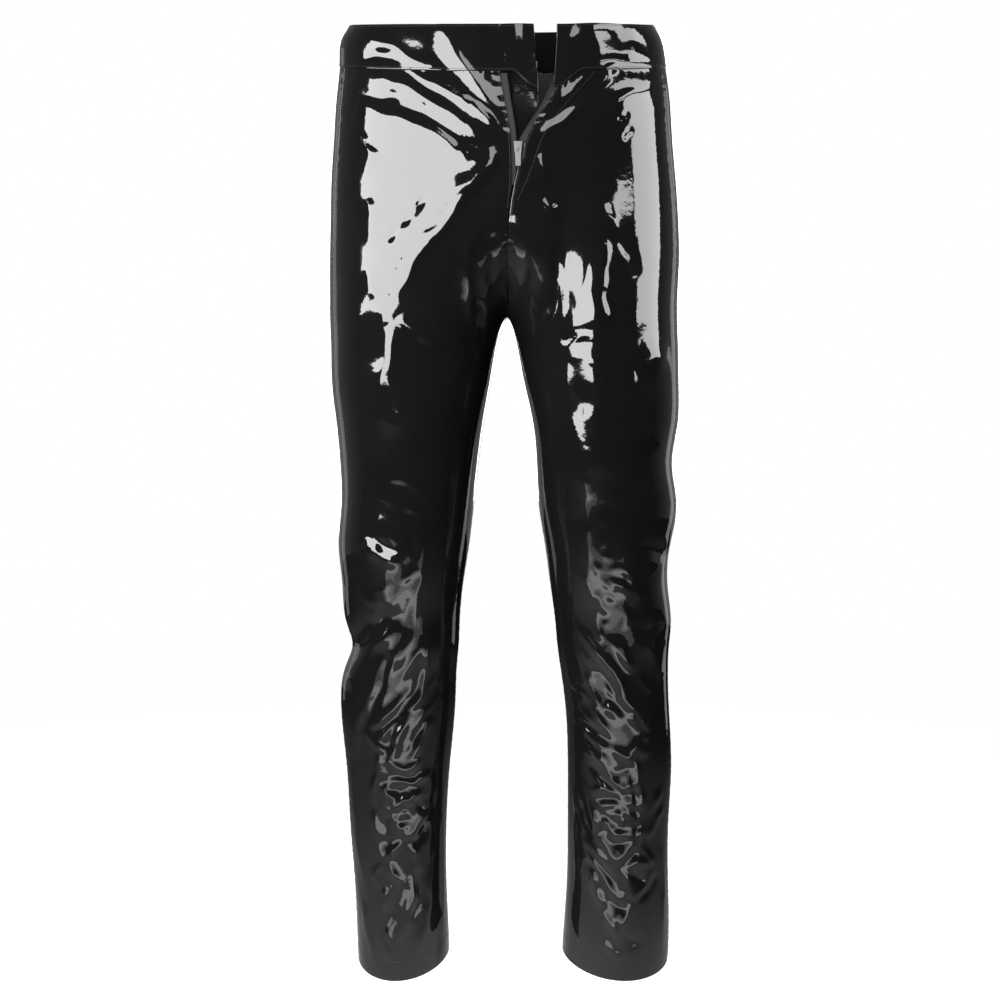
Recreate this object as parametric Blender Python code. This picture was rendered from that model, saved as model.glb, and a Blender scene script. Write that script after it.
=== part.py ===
"""Glossy PVC trousers, filled out as worn, with the fly open in a V.

The origin is the centre of the waist, half way up the waistband at its sides.
+Z is up, the front faces -Y, and +X is the wearer's left. Sizes below are in
millimetres; the meshes are written in metres.

Each leg is a stack of oval sections. A section's centre starts on the middle
plane at the waist and moves out to the middle of the leg below the crotch, so
one rule gives the trunk, the crotch curve and the legs. Angles go round a
section from 0 at the outer side, through -90 at the front and +90 at the back,
to 180 at the inseam.
"""
import math

import bmesh
import bpy
import numpy as np
from mathutils import Matrix, Vector

MM = 0.001
RIGHT, LEFT = -1, 1            # sign of X on each side of the wearer

# ---------------------------------------------------------------- sizes, mm
WALL = 1.4                     # coated cloth with its seam allowances
SEAM_GAP = 0.3                 # between two pieces that are sewn together
HEM_WALL = 2.4                 # the cloth turned up at the hem
HEM_TURN = 24.0                # height of the turned hem

BAND_HEIGHT = 46.0
BAND_WALL = 2.4                # doubled band
BAND_PROUD = 0.7               # the band stands out this far from the panels
BAND_TOP_SIDE = 23.0           # height of the band's top edge at the sides
BAND_FRONT_DROP = 15.0         # the top edge is lower at the centre front
BAND_BACK_RISE = 10.0          # and higher at the centre back
BAND_END_DIP = 14.0            # the band grows deeper at both front ends
BAND_END_RIGHT = (28.0, 31.0)  # X of the right band's end, top and bottom
BAND_END_LEFT = (53.0, 46.0)   # X of the left band's end, top and bottom

HEM_Z = -1000.0                # the hem at the back of the leg
HEM_DIP = 30.0                 # the hem is this much lower in front
HEM_LOWEST_ANGLE = -75.0       # where round the leg it is lowest
SIDE_SEAM_WAIST = -17.0        # angle of the side seam at the waist
SIDE_SEAM_HEM = -8.0           # and at the hem

FLY_BOTTOM = -215.0            # below this the two fronts meet on the middle
TAPE_WALL = 1.0
TAPE_DEPTH = 1.9               # outer face of the zip tape below the skin
TAPE_WIDTH = 12.0
TAPE_LEVELS = (-44, -60, -75, -88, -100, -108, -115, -122, -130, -136, -149, -162)
SHIELD_WALL = 1.6
SHIELD_SEAM_DEPTH = 3.2        # the shield's outer face where it is sewn on
SHIELD_FREE_DEPTH = 5.0        # and behind the open zip
SHIELD_TOP, SHIELD_END = -30.0, -168.0
SHIELD_SEWN_X = -9.0            # the shield's edge under the right front
SHIELD_ROWS, SHIELD_COLUMNS = 13, 8

SLIDER_X, SLIDER_Z = 11.0, -122.0
SLIDER_LENGTH = 11.0
SLIDER_WIDTH_TOP, SLIDER_WIDTH_END = 9.0, 6.8
SLIDER_FACE = 0.6              # the front plate stands out of the skin
SLIDER_POST = 1.6              # width of the post between the two chains
SLOT_ROOM = 0.4                # room for a tape in the slider's slot
SLIDER_BACK_WALL = 1.0
BRIDGE_WIDTH, BRIDGE_LENGTH, BRIDGE_WALL = 3.0, 5.2, 0.9
BAR_HEIGHT = 1.2               # the pull's bar above the front plate
PULL_BAR = 1.0                 # side of the pull's square bar
PULL_WIDTH, PULL_ARM, PULL_THICK = 6.4, 1.1, 1.2
PULL_EYE, PULL_LENGTH = 5.2, 21.0

SNAP_X, SNAP_Z = 10.0, -61.0
SNAP_RADIUS, SNAP_THICK = 4.2, 1.6

# One row for each level: distance of the side from the middle plane and
# distance of the section's centre from it, for each leg, then how far the
# front and the back stand out from the plane of the sides.
SECTION_COLUMNS = ("z", "outer_right", "centre_right", "outer_left", "centre_left", "front", "back")
SECTIONS = (
    (40, 164, 0, 151, 0, 91, 104),
    (24, 172, 0, 160, 0, 94, 107),
    (8, 182, 0, 169, 0, 96, 110),
    (-14, 185, 0, 174, 0, 98, 114),
    (-58, 189, 0, 180, 0, 101, 121),
    (-103, 192, 0, 183, 0, 104, 130),
    (-148, 195, 8, 187, 8, 105, 137),
    (-193, 196, 34, 190, 33, 105, 139),
    (-238, 197, 68, 191, 66, 102, 133),
    (-283, 197, 94, 189, 91, 98, 120),
    (-297, 197, 98.5, 189, 94.5, 97, 115),
    (-327, 196, 103, 190, 99.5, 94, 106),
    (-372, 195, 106.5, 191, 104.5, 92, 97),
    (-417, 190, 108, 190, 109, 89, 89),
    (-462, 186, 109, 184, 108, 85, 80),
    (-507, 185, 111, 189, 112, 80, 71),
    (-551, 188, 115, 182, 112, 77, 64),
    (-596, 184, 116.5, 179, 113.5, 71, 62),
    (-641, 179, 116, 183, 118.5, 64, 66),
    (-664, 173, 113.5, 181, 118.5, 62, 69),
    (-686, 180, 118, 180, 119.5, 59, 71),
    (-731, 186, 122, 181, 123, 56, 74),
    (-798, 180, 122, 184, 126, 53, 74),
    (-865, 176, 122, 181, 124.5, 51, 70),
    (-932, 171, 119.5, 181, 124, 51, 67),
    (-977, 169, 117.5, 182, 123, 52, 67),
    (-1040, 167, 115.5, 180, 120, 53, 67),
)

# X of each front's edge beside the fly opening.
FLY_EDGE_COLUMNS = ("z", "right", "left")
FLY_EDGES = (
    (-20, -9.0, 50.0),
    (-49, -6.0, 45.0),
    (-75, -2.0, 34.5),
    (-100, 2.0, 24.5),
    (-118, 4.0, 18.0),
    (-132, 4.6, 16.5),
    (-145, 4.8, 11.0),
    (-160, 4.5, 7.5),
    (-177, 3.0, 4.2),
    (-200, 0.8, 1.3),
    (-215, -0.15, 0.15),
)

# X of each zip chain, which is the inner edge of its tape.
ZIP_COLUMNS = ("z", "right", "left")
ZIP_LINES = (
    (-40, -1.0, 54.0),
    (-75, 4.0, 37.0),
    (-100, 8.4, 21.0),
    (-115, 9.8, 12.2),
    (-130, 9.8, 12.2),
    (-136, 10.0, 10.6),
    (-165, 8.0, 8.6),
)

# Free edge of the fly shield.
SHIELD_EDGE_COLUMNS = ("z", "x")
SHIELD_EDGE = ((-28, 32), (-75, 33), (-105, 30), (-135, 24), (-155, 18), (-170, 13))

# The largest folds. Each runs on the face named, front or back, from a start
# to an end given by distance from the middle plane and height, bows sideways
# by "bow", and stands out (or sinks in, if negative) by "height".
FOLD_COLUMNS = ("side", "face", "x0", "z0", "x1", "z1", "bow", "width", "height")
FOLDS = (
    # right front: thigh, knee, shin, ankle
    (RIGHT, "front", 165, -105, 45, -180, 14, 20, 3.0),
    (RIGHT, "front", 178, -150, 60, -235, 10, 18, -2.5),
    (RIGHT, "front", 150, -462, 92, -500, 6, 11, -4.0),
    (RIGHT, "front", 152, -498, 95, -535, 6, 11, -4.5),
    (RIGHT, "front", 165, -545, 110, -572, 5, 12, 5.0),
    (RIGHT, "front", 172, -655, 110, -618, -6, 12, -6.0),
    (RIGHT, "front", 178, -600, 125, -585, 6, 14, 4.0),
    (RIGHT, "front", 96, -573, 158, -753, 12, 11, 4.5),
    (RIGHT, "front", 84, -655, 134, -785, -8, 11, 4.0),
    (RIGHT, "front", 120, -640, 140, -735, 3, 10, -4.0),
    (RIGHT, "front", 138, -785, 90, -835, 5, 10, 4.0),
    (RIGHT, "front", 90, -815, 132, -890, -5, 10, -3.5),
    (RIGHT, "front", 118, -870, 124, -995, 4, 12, 4.0),
    (RIGHT, "front", 144, -785, 142, -945, 4, 10, -3.0),
    # left front
    (LEFT, "front", 158, -110, 50, -185, 12, 20, 2.5),
    (LEFT, "front", 120, -185, 60, -270, 10, 18, -2.5),
    (LEFT, "front", 95, -395, 92, -500, 6, 12, -3.5),
    (LEFT, "front", 116, -455, 98, -525, 4, 10, 3.5),
    (LEFT, "front", 88, -567, 146, -612, -6, 12, 5.0),
    (LEFT, "front", 172, -560, 120, -530, 6, 12, -3.5),
    (LEFT, "front", 68, -633, 152, -760, 8, 12, 5.0),
    (LEFT, "front", 74, -665, 124, -785, -6, 10, -4.0),
    (LEFT, "front", 72, -758, 130, -820, 5, 10, 4.0),
    (LEFT, "front", 150, -812, 96, -868, 5, 10, -3.5),
    (LEFT, "front", 98, -880, 152, -932, 5, 11, 4.0),
    (LEFT, "front", 120, -910, 117, -990, 4, 12, 3.5),
    # backs: under the seat, behind the knees and on the calves
    (RIGHT, "back", 175, -300, 60, -345, -12, 16, -4.0),
    (RIGHT, "back", 165, -375, 55, -392, -10, 15, -3.0),
    (RIGHT, "back", 172, -545, 70, -566, -8, 12, -5.0),
    (RIGHT, "back", 70, -590, 165, -604, -8, 12, -5.5),
    (RIGHT, "back", 170, -632, 80, -650, -6, 12, -4.5),
    (RIGHT, "back", 85, -745, 160, -805, 8, 13, 3.5),
    (RIGHT, "back", 150, -880, 90, -920, 6, 12, -3.5),
    (LEFT, "back", 172, -306, 58, -338, -12, 16, -4.0),
    (LEFT, "back", 160, -366, 62, -398, -8, 15, -3.0),
    (LEFT, "back", 168, -552, 66, -560, -8, 12, -5.0),
    (LEFT, "back", 72, -598, 168, -590, -6, 12, -5.5),
    (LEFT, "back", 166, -645, 84, -634, -8, 12, -4.5),
    (LEFT, "back", 96, -720, 168, -800, 8, 13, 3.5),
    (LEFT, "back", 160, -905, 92, -885, 6, 12, -3.5),
)
FOLD_SAMPLES = 12              # points along a fold's line
FLY_CALM_WIDTH = (14.0, 60.0)  # folds fade out between these distances from the fly

# Grid of one panel: levels of its rows, and the number of its columns.
ROW_LEVELS = (
    -23, -40, -58, -78, -100, -122, -144, -165, -185, -205, -225, -243, -258, -270, -280, -288, -293,
    -296.6, -300, -308, -322, -342, -364, -386, -408, -430, -450, -468, -486, -503, -520, -537, -554,
    -571, -588, -605, -622, -638, -652, -666, -682, -700, -718, -736, -754, -772, -790, -808, -826,
    -844, -862, -882, -904, -928, -952, -976, -1000,
)
PANEL_COLUMNS = 13
BAND_ROWS = (0.0, 0.33, 0.66, 0.9, 1.0)  # shares of the band's height
BAND_END_COLUMNS = 4           # columns of the right band past the front's edge
WAIST_REACH, HEM_REACH = 110.0, 160.0   # how far the waist's and hem's slants fade out


# ---------------------------------------------------------------- curves
def smooth_curve(stations, values):
    """A natural cubic curve through the values; the stations may go down or up."""
    order = np.argsort(stations)
    x = np.asarray(stations, float)[order]
    y = np.asarray(values, float)[order]
    count, step = len(x), np.diff(x)
    matrix, rhs = np.eye(count), np.zeros(count)
    for i in range(1, count - 1):
        matrix[i, i - 1:i + 2] = step[i - 1], 2 * (step[i - 1] + step[i]), step[i]
        rhs[i] = 6 * ((y[i + 1] - y[i]) / step[i] - (y[i] - y[i - 1]) / step[i - 1])
    bend = np.linalg.solve(matrix, rhs)

    def curve(q):
        q = np.clip(np.asarray(q, float), x[0], x[-1])
        i = np.clip(np.searchsorted(x, q) - 1, 0, count - 2)
        h, a, b = step[i], (x[i + 1] - q) / step[i], (q - x[i]) / step[i]
        return a * y[i] + b * y[i + 1] + ((a**3 - a) * bend[i] + (b**3 - b) * bend[i + 1]) * h * h / 6

    return curve


def straight_curve(stations, values):
    """Straight runs through the values; the stations may go down or up."""
    order = np.argsort(stations)
    x, y = np.asarray(stations, float)[order], np.asarray(values, float)[order]
    return lambda q: np.interp(q, x, y)


def table_curves(columns, rows, curve):
    """One curve over z for each named column of a table."""
    data = np.array(rows, float)
    return {name: curve(data[:, 0], data[:, i]) for i, name in enumerate(columns) if i}


def ease(low, high, value):
    """0 below low, 1 above high, and a soft step between."""
    t = np.clip((np.asarray(value, float) - low) / (high - low), 0, 1)
    return t * t * (3 - 2 * t)


SECTION = table_curves(SECTION_COLUMNS, SECTIONS, smooth_curve)
FLY_EDGE = table_curves(FLY_EDGE_COLUMNS, FLY_EDGES, straight_curve)
ZIP_LINE = table_curves(ZIP_COLUMNS, ZIP_LINES, straight_curve)
SHIELD_FREE_EDGE = table_curves(SHIELD_EDGE_COLUMNS, SHIELD_EDGE, smooth_curve)["x"]


def side_name(side):
    return "right" if side == RIGHT else "left"


# ---------------------------------------------------------------- the form
def section_sizes(side, z):
    """Centre and half width of the section, and its depth in front and behind."""
    outer = SECTION["outer_" + side_name(side)](z)
    centre = SECTION["centre_" + side_name(side)](z)
    return centre, outer - centre, SECTION["front"](z), SECTION["back"](z)


def form(side, angle, z):
    """Points of the smooth form, without folds, at angles (radians) and heights."""
    centre, half, front, back = section_sizes(side, z)
    depth = np.where(angle < 0, front, back)
    x = side * (centre + half * np.cos(angle))
    return np.stack(np.broadcast_arrays(x, depth * np.sin(angle), z), axis=-1)


def angle_at(side, x, z, face):
    """The section's angle where its surface is x from the middle plane."""
    centre, half, _, _ = section_sizes(side, z)
    turn = np.arccos(np.clip((x - centre) / half, -1, 1))
    return -turn if face == "front" else turn


def fold_line(fold):
    """Points along one fold's line, laid on the smooth form."""
    side, face, x0, z0, x1, z1, bow = fold[:7]
    t = np.linspace(0, 1, FOLD_SAMPLES)
    length = math.hypot(x1 - x0, z1 - z0)
    bulge = bow * 4 * t * (1 - t)
    x = x0 + (x1 - x0) * t - (z1 - z0) / length * bulge
    z = z0 + (z1 - z0) * t + (x1 - x0) / length * bulge
    return form(side, angle_at(side, x, z, face), z), t


FOLD_LINES = [(fold[0], fold_line(fold), fold[7], fold[8]) for fold in FOLDS]


def fold_height(side, points):
    """How far the folds lift each point of the form, in mm."""
    flat = points.reshape(-1, 3)
    lift = np.zeros(len(flat))
    for fold_side, (line, t), width, height in FOLD_LINES:
        if fold_side != side:
            continue
        starts, runs = line[:-1], np.diff(line, axis=0)
        gaps = flat[:, None, :] - starts[None]
        along = np.clip((gaps * runs).sum(-1) / (runs * runs).sum(-1), 0, 1)
        distance = np.linalg.norm(gaps - along[..., None] * runs, axis=-1)
        nearest = distance.argmin(axis=1)
        row = np.arange(len(flat))
        place = (nearest + along[row, nearest]) / (len(line) - 1)
        fade = np.sin(np.pi * np.clip(place, 0, 1)) ** 0.7
        lift += height * fade * np.exp(-(distance[row, nearest] / width) ** 2)
    calm = np.where((flat[:, 1] < 0) & (flat[:, 2] > FLY_BOTTOM),
                    ease(*FLY_CALM_WIDTH, np.abs(flat[:, 0])), 1)
    return (lift * calm).reshape(points.shape[:-1])


def band_top(angle):
    """Height of the waistband's top edge."""
    slant = np.sin(angle)
    return BAND_TOP_SIDE + np.where(slant < 0, BAND_FRONT_DROP, BAND_BACK_RISE) * slant


def band_bottom(side, angle):
    """Height of the seam between the waistband and the panels."""
    level = band_top(angle) - BAND_HEIGHT
    _, half, _, _ = section_sizes(side, level)
    x = side * half * np.cos(angle)
    start, end = (4.0, 30.0) if side == RIGHT else (-82.0, -50.0)
    dip = BAND_END_DIP * ease(start, end, x if side == RIGHT else -x)
    return level - np.where(np.sin(angle) < 0, dip, 0)


def hem_shift(angle):
    """How far the hem dips below its level at the back of the leg."""
    turn = (1 + np.cos(angle - math.radians(HEM_LOWEST_ANGLE))) / 2
    return -HEM_DIP * turn**1.5


def height_at(side, angle, level):
    """Real height of a point on a row, with the slants of the waist and the hem."""
    top_share = np.clip(1 - (ROW_LEVELS[0] - level) / WAIST_REACH, 0, 1) ** 2
    hem_share = np.clip(1 - (level - HEM_Z) / HEM_REACH, 0, 1) ** 2
    top_shift = band_bottom(side, angle) - SEAM_GAP / 2 - ROW_LEVELS[0]
    return level + top_shift * top_share + hem_shift(angle) * hem_share


def unit(vectors):
    return vectors / np.linalg.norm(vectors, axis=-1, keepdims=True)


def skin(side, angle, z):
    """Outer surface with its folds, and the outward direction at each point."""
    def smooth_out(turn, height):
        around = form(side, turn + 0.002, height) - form(side, turn - 0.002, height)
        along = form(side, turn, height + 0.5) - form(side, turn, height - 0.5)
        return unit(np.cross(around, along)) * side

    def folded(turn, height):
        base = form(side, turn, height)
        return base + smooth_out(turn, height) * fold_height(side, base)[..., None]

    around = folded(angle + 0.01, z) - folded(angle - 0.01, z)
    along = folded(angle, z + 1.0) - folded(angle, z - 1.0)
    return folded(angle, z), unit(np.cross(around, along)) * side


# ---------------------------------------------------------------- panels
def edge_angle(side, level, x, face):
    """Angle of a panel's inner edge, which is x mm over the middle plane."""
    centre, half, _, _ = section_sizes(side, level)
    turn = np.arccos(np.clip((x * side - centre) / half, -1, 1))
    turn = np.minimum(turn, math.pi - SEAM_GAP / 2 / SECTION[face](level))
    return -turn if face == "front" else turn


def panel_angles(side, face, level):
    """Angles of one row's columns, from the middle of the body to the side seam."""
    down = (ROW_LEVELS[0] - level) / (ROW_LEVELS[0] - HEM_Z)
    seam = math.radians(SIDE_SEAM_WAIST + (SIDE_SEAM_HEM - SIDE_SEAM_WAIST) * down)
    seam_gap = SEAM_GAP / 2 / float(SECTION[face](level))
    edge_x = side * SEAM_GAP / 2
    if face == "front" and level > FLY_BOTTOM:
        edge_x = float(FLY_EDGE[side_name(side)](level))
    inner = float(edge_angle(side, level, edge_x, face))
    outer = seam - seam_gap if face == "front" else seam + seam_gap
    return np.linspace(inner, outer, PANEL_COLUMNS)


def panel_grid(side, face):
    """Outer and inner points of a panel, a row for each level."""
    outer_rows, inner_rows = [], []
    for level in ROW_LEVELS:
        angles = panel_angles(side, face, level)
        z = height_at(side, angles, level)
        points, outward = skin(side, angles, z)
        wall = WALL + (HEM_WALL - WALL) * ease(HEM_Z + HEM_TURN + 4, HEM_Z + HEM_TURN - 4, level)
        outer_rows.append(points)
        inner_rows.append(points - outward * wall)
    return np.array(outer_rows), np.array(inner_rows)


def band_grid(side):
    """Outer and inner points of one half of the waistband, bottom row first."""
    front = panel_angles(side, "front", ROW_LEVELS[0])
    back = panel_angles(side, "back", ROW_LEVELS[0])[::-1]
    ends = BAND_END_RIGHT if side == RIGHT else BAND_END_LEFT
    body = np.concatenate([front, back])
    outer_rows, inner_rows = [], []
    for share in BAND_ROWS:
        end_x = ends[1] + (ends[0] - ends[1]) * share
        end = float(edge_angle(side, 0.0, end_x, "front"))
        if side == RIGHT:
            past_edge = np.linspace(end, front[0], BAND_END_COLUMNS, endpoint=False)
            angles = np.concatenate([past_edge, body])
        else:
            angles = np.concatenate([[end], body[1:]])
        bottom = band_bottom(side, angles) + SEAM_GAP / 2
        z = bottom + (band_top(angles) - bottom) * share
        points, outward = skin(side, angles, z)
        outer_rows.append(points + outward * BAND_PROUD)
        inner_rows.append(points + outward * (BAND_PROUD - BAND_WALL))
    return np.array(outer_rows), np.array(inner_rows)


# ---------------------------------------------------------------- the fly
def front_at(x, z, depth):
    """Points below (or, if negative, above) the front's smooth skin at x and z."""
    x, z, depth = np.broadcast_arrays(x, z, depth)
    result = np.zeros(x.shape + (3,))
    for side in (RIGHT, LEFT):
        mine = (x * side > 0) | ((x == 0) & (side == LEFT))
        angles = angle_at(side, np.abs(x), z, "front")
        around = form(side, angles + 0.002, z) - form(side, angles - 0.002, z)
        along = form(side, angles, z + 0.5) - form(side, angles, z - 0.5)
        outward = unit(np.cross(around, along)) * side
        points = form(side, angles, z) - outward * depth[..., None]
        result[mine] = points[mine]
    return result


def strip_grid(levels, near_x, far_x, depth, wall, columns=3):
    """A strip behind the fly, between two lines given as X for each level."""
    levels = np.asarray(levels, float)[:, None]
    share = np.linspace(0, 1, columns)[None]
    x = near_x(levels) * (1 - share) + far_x(levels) * share
    top = depth(x)
    return front_at(x, levels + 0 * x, top), front_at(x, levels + 0 * x, top + wall)


def tape_grid(side):
    """The zip tape of one side, its chain edge along the zip's line."""
    chain = ZIP_LINE[side_name(side)]
    return strip_grid(TAPE_LEVELS, chain, lambda z: chain(z) + side * TAPE_WIDTH,
                      lambda x: np.full(x.shape, TAPE_DEPTH), TAPE_WALL)


def shield_grid():
    """The flap behind the zip: close to the tape where it is sewn, deeper where free."""
    levels = np.linspace(SHIELD_TOP, SHIELD_END, SHIELD_ROWS)

    def depth(x):
        return SHIELD_SEAM_DEPTH + (SHIELD_FREE_DEPTH - SHIELD_SEAM_DEPTH) * ease(-2.0, 6.0, x)

    return strip_grid(levels, lambda z: 0 * z + SHIELD_SEWN_X, SHIELD_FREE_EDGE, depth,
                      SHIELD_WALL, SHIELD_COLUMNS)


def front_frame(x, z):
    """Matrix from a fitting's axes (x to the wearer's right, y out of the skin, z up) to the world."""
    across = Vector(front_at(x - 3, z, 0.0) - front_at(x + 3, z, 0.0)).normalized()
    up = Vector(front_at(x, z + 5, 0.0) - front_at(x, z - 5, 0.0)).normalized()
    outward = up.cross(across).normalized()
    matrix = Matrix((across, outward, across.cross(outward))).transposed().to_4x4()
    matrix.translation = Vector(front_at(x, z, 0.0)) * MM
    return matrix


# ---------------------------------------------------------------- meshes
def material(name, color, roughness, metallic=0.0):
    made = bpy.data.materials.new(name)
    made.use_nodes = True
    shader = made.node_tree.nodes["Principled BSDF"]
    shader.inputs["Base Color"].default_value = (*color, 1)
    shader.inputs["Roughness"].default_value = roughness
    shader.inputs["Metallic"].default_value = metallic
    return made


def add_object(name, mesh, finish):
    mesh.materials.append(finish)
    mesh.shade_smooth()
    made = bpy.data.objects.new(name, mesh)
    bpy.context.scene.collection.objects.link(made)
    return made


def wall_object(name, grids, finish):
    """A closed wall between an outer and an inner grid of points."""
    outer, inner = grids
    rows, columns, _ = outer.shape
    points = np.concatenate([outer.reshape(-1, 3), inner.reshape(-1, 3)]) * MM
    under = rows * columns
    faces = []
    for i in range(rows - 1):
        for j in range(columns - 1):
            a, b = i * columns + j, i * columns + j + 1
            c, d = a + columns, b + columns
            if np.linalg.norm(points[a] - points[d]) < np.linalg.norm(points[b] - points[c]):
                pair = ((a, b, d), (a, d, c))
            else:
                pair = ((a, b, c), (b, d, c))
            for face in pair:
                faces.append(face)
                faces.append(tuple(under + k for k in reversed(face)))
    rim = [j for j in range(columns)]
    rim += [i * columns + columns - 1 for i in range(1, rows)]
    rim += [(rows - 1) * columns + j for j in range(columns - 2, -1, -1)]
    rim += [i * columns for i in range(rows - 2, 0, -1)]
    for a, b in zip(rim, rim[1:] + rim[:1]):
        faces.append((b, a, under + a))
        faces.append((b, under + a, under + b))
    mesh = bpy.data.meshes.new(name)
    mesh.from_pydata(points.tolist(), [], faces)
    face_outward(mesh)
    return add_object(name, mesh, finish)


def face_outward(mesh):
    shape = bmesh.new()
    shape.from_mesh(mesh)
    if shape.calc_volume(signed=True) < 0:
        bmesh.ops.reverse_faces(shape, faces=shape.faces)
    shape.to_mesh(mesh)
    shape.free()


def block(name, size, centre, finish, frame, taper=1.0):
    """A box in a fitting's axes; taper narrows its lower end."""
    shape = bmesh.new()
    bmesh.ops.create_cube(shape, size=1.0)
    for vert in shape.verts:
        narrow = taper if vert.co.z < 0 else 1.0
        vert.co = Vector((vert.co.x * size[0] * narrow, vert.co.y * size[1], vert.co.z * size[2]))
        vert.co = (vert.co + Vector(centre)) * MM
    mesh = bpy.data.meshes.new(name)
    shape.to_mesh(mesh)
    shape.free()
    made = add_object(name, mesh, finish)
    made.matrix_world = frame
    return made


def join_tool(target, tool, operation):
    """Add or cut one body by another, which stays as a hidden cutter."""
    step = target.modifiers.new(tool.name, "BOOLEAN")
    step.operation = operation
    step.object = tool
    step.solver = "EXACT"
    tool.hide_render = True
    tool.display_type = "WIRE"


def make_slider(frame, finish):
    """Two plates on a post, and the bridge that carries the pull."""
    slot_front = TAPE_DEPTH - SLOT_ROOM
    slot_back = TAPE_DEPTH + TAPE_WALL + SLOT_ROOM
    plate = SLIDER_FACE + slot_front
    taper = SLIDER_WIDTH_END / SLIDER_WIDTH_TOP
    slider = block("zip_slider", (SLIDER_WIDTH_TOP, plate, SLIDER_LENGTH),
                   (0, SLIDER_FACE - plate / 2, 0), finish, frame, taper)
    back = block("slider_back_plate", (SLIDER_WIDTH_TOP, SLIDER_BACK_WALL, SLIDER_LENGTH),
                 (0, -slot_back - SLIDER_BACK_WALL / 2, 0), finish, frame, taper)
    overlap = 0.3
    post_depth = slot_back - slot_front + 2 * overlap
    post = block("slider_post", (SLIDER_POST, post_depth, SLIDER_LENGTH * 0.8),
                 (0, -(slot_front + slot_back) / 2, 0), finish, frame)
    tunnel = 2 * BAR_HEIGHT
    bridge = block("slider_bridge", (BRIDGE_WIDTH, tunnel + BRIDGE_WALL + overlap, BRIDGE_LENGTH),
                   (0, SLIDER_FACE + (tunnel + BRIDGE_WALL - overlap) / 2, 0), finish, frame)
    inside = block("slider_tunnel", (BRIDGE_WIDTH + 2, tunnel, BRIDGE_LENGTH - 2 * BRIDGE_WALL),
                   (0, SLIDER_FACE + tunnel / 2, 0), finish, frame)
    for tool in (post, back, bridge):
        join_tool(slider, tool, "UNION")
    join_tool(slider, inside, "DIFFERENCE")
    return slider


def make_pull(frame, finish):
    """The pull tab, its bar under the slider's bridge, hanging straight down."""
    bar = frame @ Matrix.Translation(Vector((0, SLIDER_FACE + BAR_HEIGHT, 0)) * MM)
    bar_top = PULL_BAR / 2
    pull = block("zip_pull", (PULL_WIDTH, PULL_THICK, PULL_LENGTH),
                 (0, 0, bar_top - PULL_LENGTH / 2), finish, bar, 0.82)
    eye = block("pull_eye", (PULL_WIDTH - 2 * PULL_ARM, PULL_THICK + 2, PULL_EYE),
                (0, 0, -bar_top - PULL_EYE / 2), finish, bar)
    join_tool(pull, eye, "DIFFERENCE")
    return pull


def make_snap(finish):
    """A low round snap on the fly shield."""
    height = SEAM_GAP + SNAP_THICK / 2 - SHIELD_FREE_DEPTH
    seat = front_frame(SNAP_X, SNAP_Z) @ Matrix.Translation(Vector((0, height, 0)) * MM)
    shape = bmesh.new()
    bmesh.ops.create_cone(shape, cap_ends=True, segments=24, radius1=SNAP_RADIUS * MM,
                          radius2=SNAP_RADIUS * 0.72 * MM, depth=SNAP_THICK * MM)
    mesh = bpy.data.meshes.new("fly_snap")
    shape.to_mesh(mesh)
    shape.free()
    snap = add_object("fly_snap", mesh, finish)
    snap.matrix_world = seat @ Matrix.Rotation(math.radians(-90), 4, "X")
    return snap


def main():
    for old in list(bpy.data.objects):
        bpy.data.objects.remove(old, do_unlink=True)
    for side in (RIGHT, LEFT):
        name = side_name(side)
        for face in ("front", "back"):
            finish = material("pvc_" + face + "_" + name, (0.010, 0.010, 0.011), 0.07)
            wall_object(face + "_" + name, panel_grid(side, face), finish)
        finish = material("pvc_band_" + name, (0.010, 0.010, 0.011), 0.07)
        wall_object("waistband_" + name, band_grid(side), finish)
        finish = material("tape_" + name, (0.018, 0.018, 0.019), 0.8)
        wall_object("zip_tape_" + name, tape_grid(side), finish)
    wall_object("fly_shield", shield_grid(), material("pvc_shield", (0.010, 0.010, 0.011), 0.07))
    frame = front_frame(SLIDER_X, SLIDER_Z)
    make_slider(frame, material("slider_metal", (0.55, 0.55, 0.56), 0.28, 1.0))
    make_pull(frame, material("pull_metal", (0.55, 0.55, 0.56), 0.25, 1.0))
    make_snap(material("snap_metal", (0.30, 0.30, 0.31), 0.35, 1.0))


main()
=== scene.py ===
# %% [markdown]
# # Glossy PVC trousers
# The imported model gives the pieces at their real size and place. This script
# gives them their looks: cloth with fine creases, a zip with its teeth, the
# sewing, the finishes, and a plain studio. The imported model's box is kept.

# %% Load the frame
import math

import bmesh
import bpy
import numpy as np
from mathutils import Matrix, Vector


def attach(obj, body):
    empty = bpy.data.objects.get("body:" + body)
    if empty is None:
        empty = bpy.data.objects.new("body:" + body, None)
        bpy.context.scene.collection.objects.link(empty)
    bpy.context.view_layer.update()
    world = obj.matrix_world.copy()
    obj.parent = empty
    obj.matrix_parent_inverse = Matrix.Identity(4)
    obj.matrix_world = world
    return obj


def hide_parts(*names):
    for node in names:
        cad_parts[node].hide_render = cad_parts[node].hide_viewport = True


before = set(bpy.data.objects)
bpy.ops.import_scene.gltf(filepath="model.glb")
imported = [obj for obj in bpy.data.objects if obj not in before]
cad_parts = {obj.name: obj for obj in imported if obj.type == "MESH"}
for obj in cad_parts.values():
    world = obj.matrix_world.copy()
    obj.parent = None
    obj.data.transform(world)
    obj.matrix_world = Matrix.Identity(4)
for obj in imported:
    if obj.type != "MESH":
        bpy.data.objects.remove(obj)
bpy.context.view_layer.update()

MM = 0.001
RIGHT, LEFT = -1, 1            # right and left as the trousers are worn; right is at -X
SIDE_NAME = {RIGHT: "right", LEFT: "left"}

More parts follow.
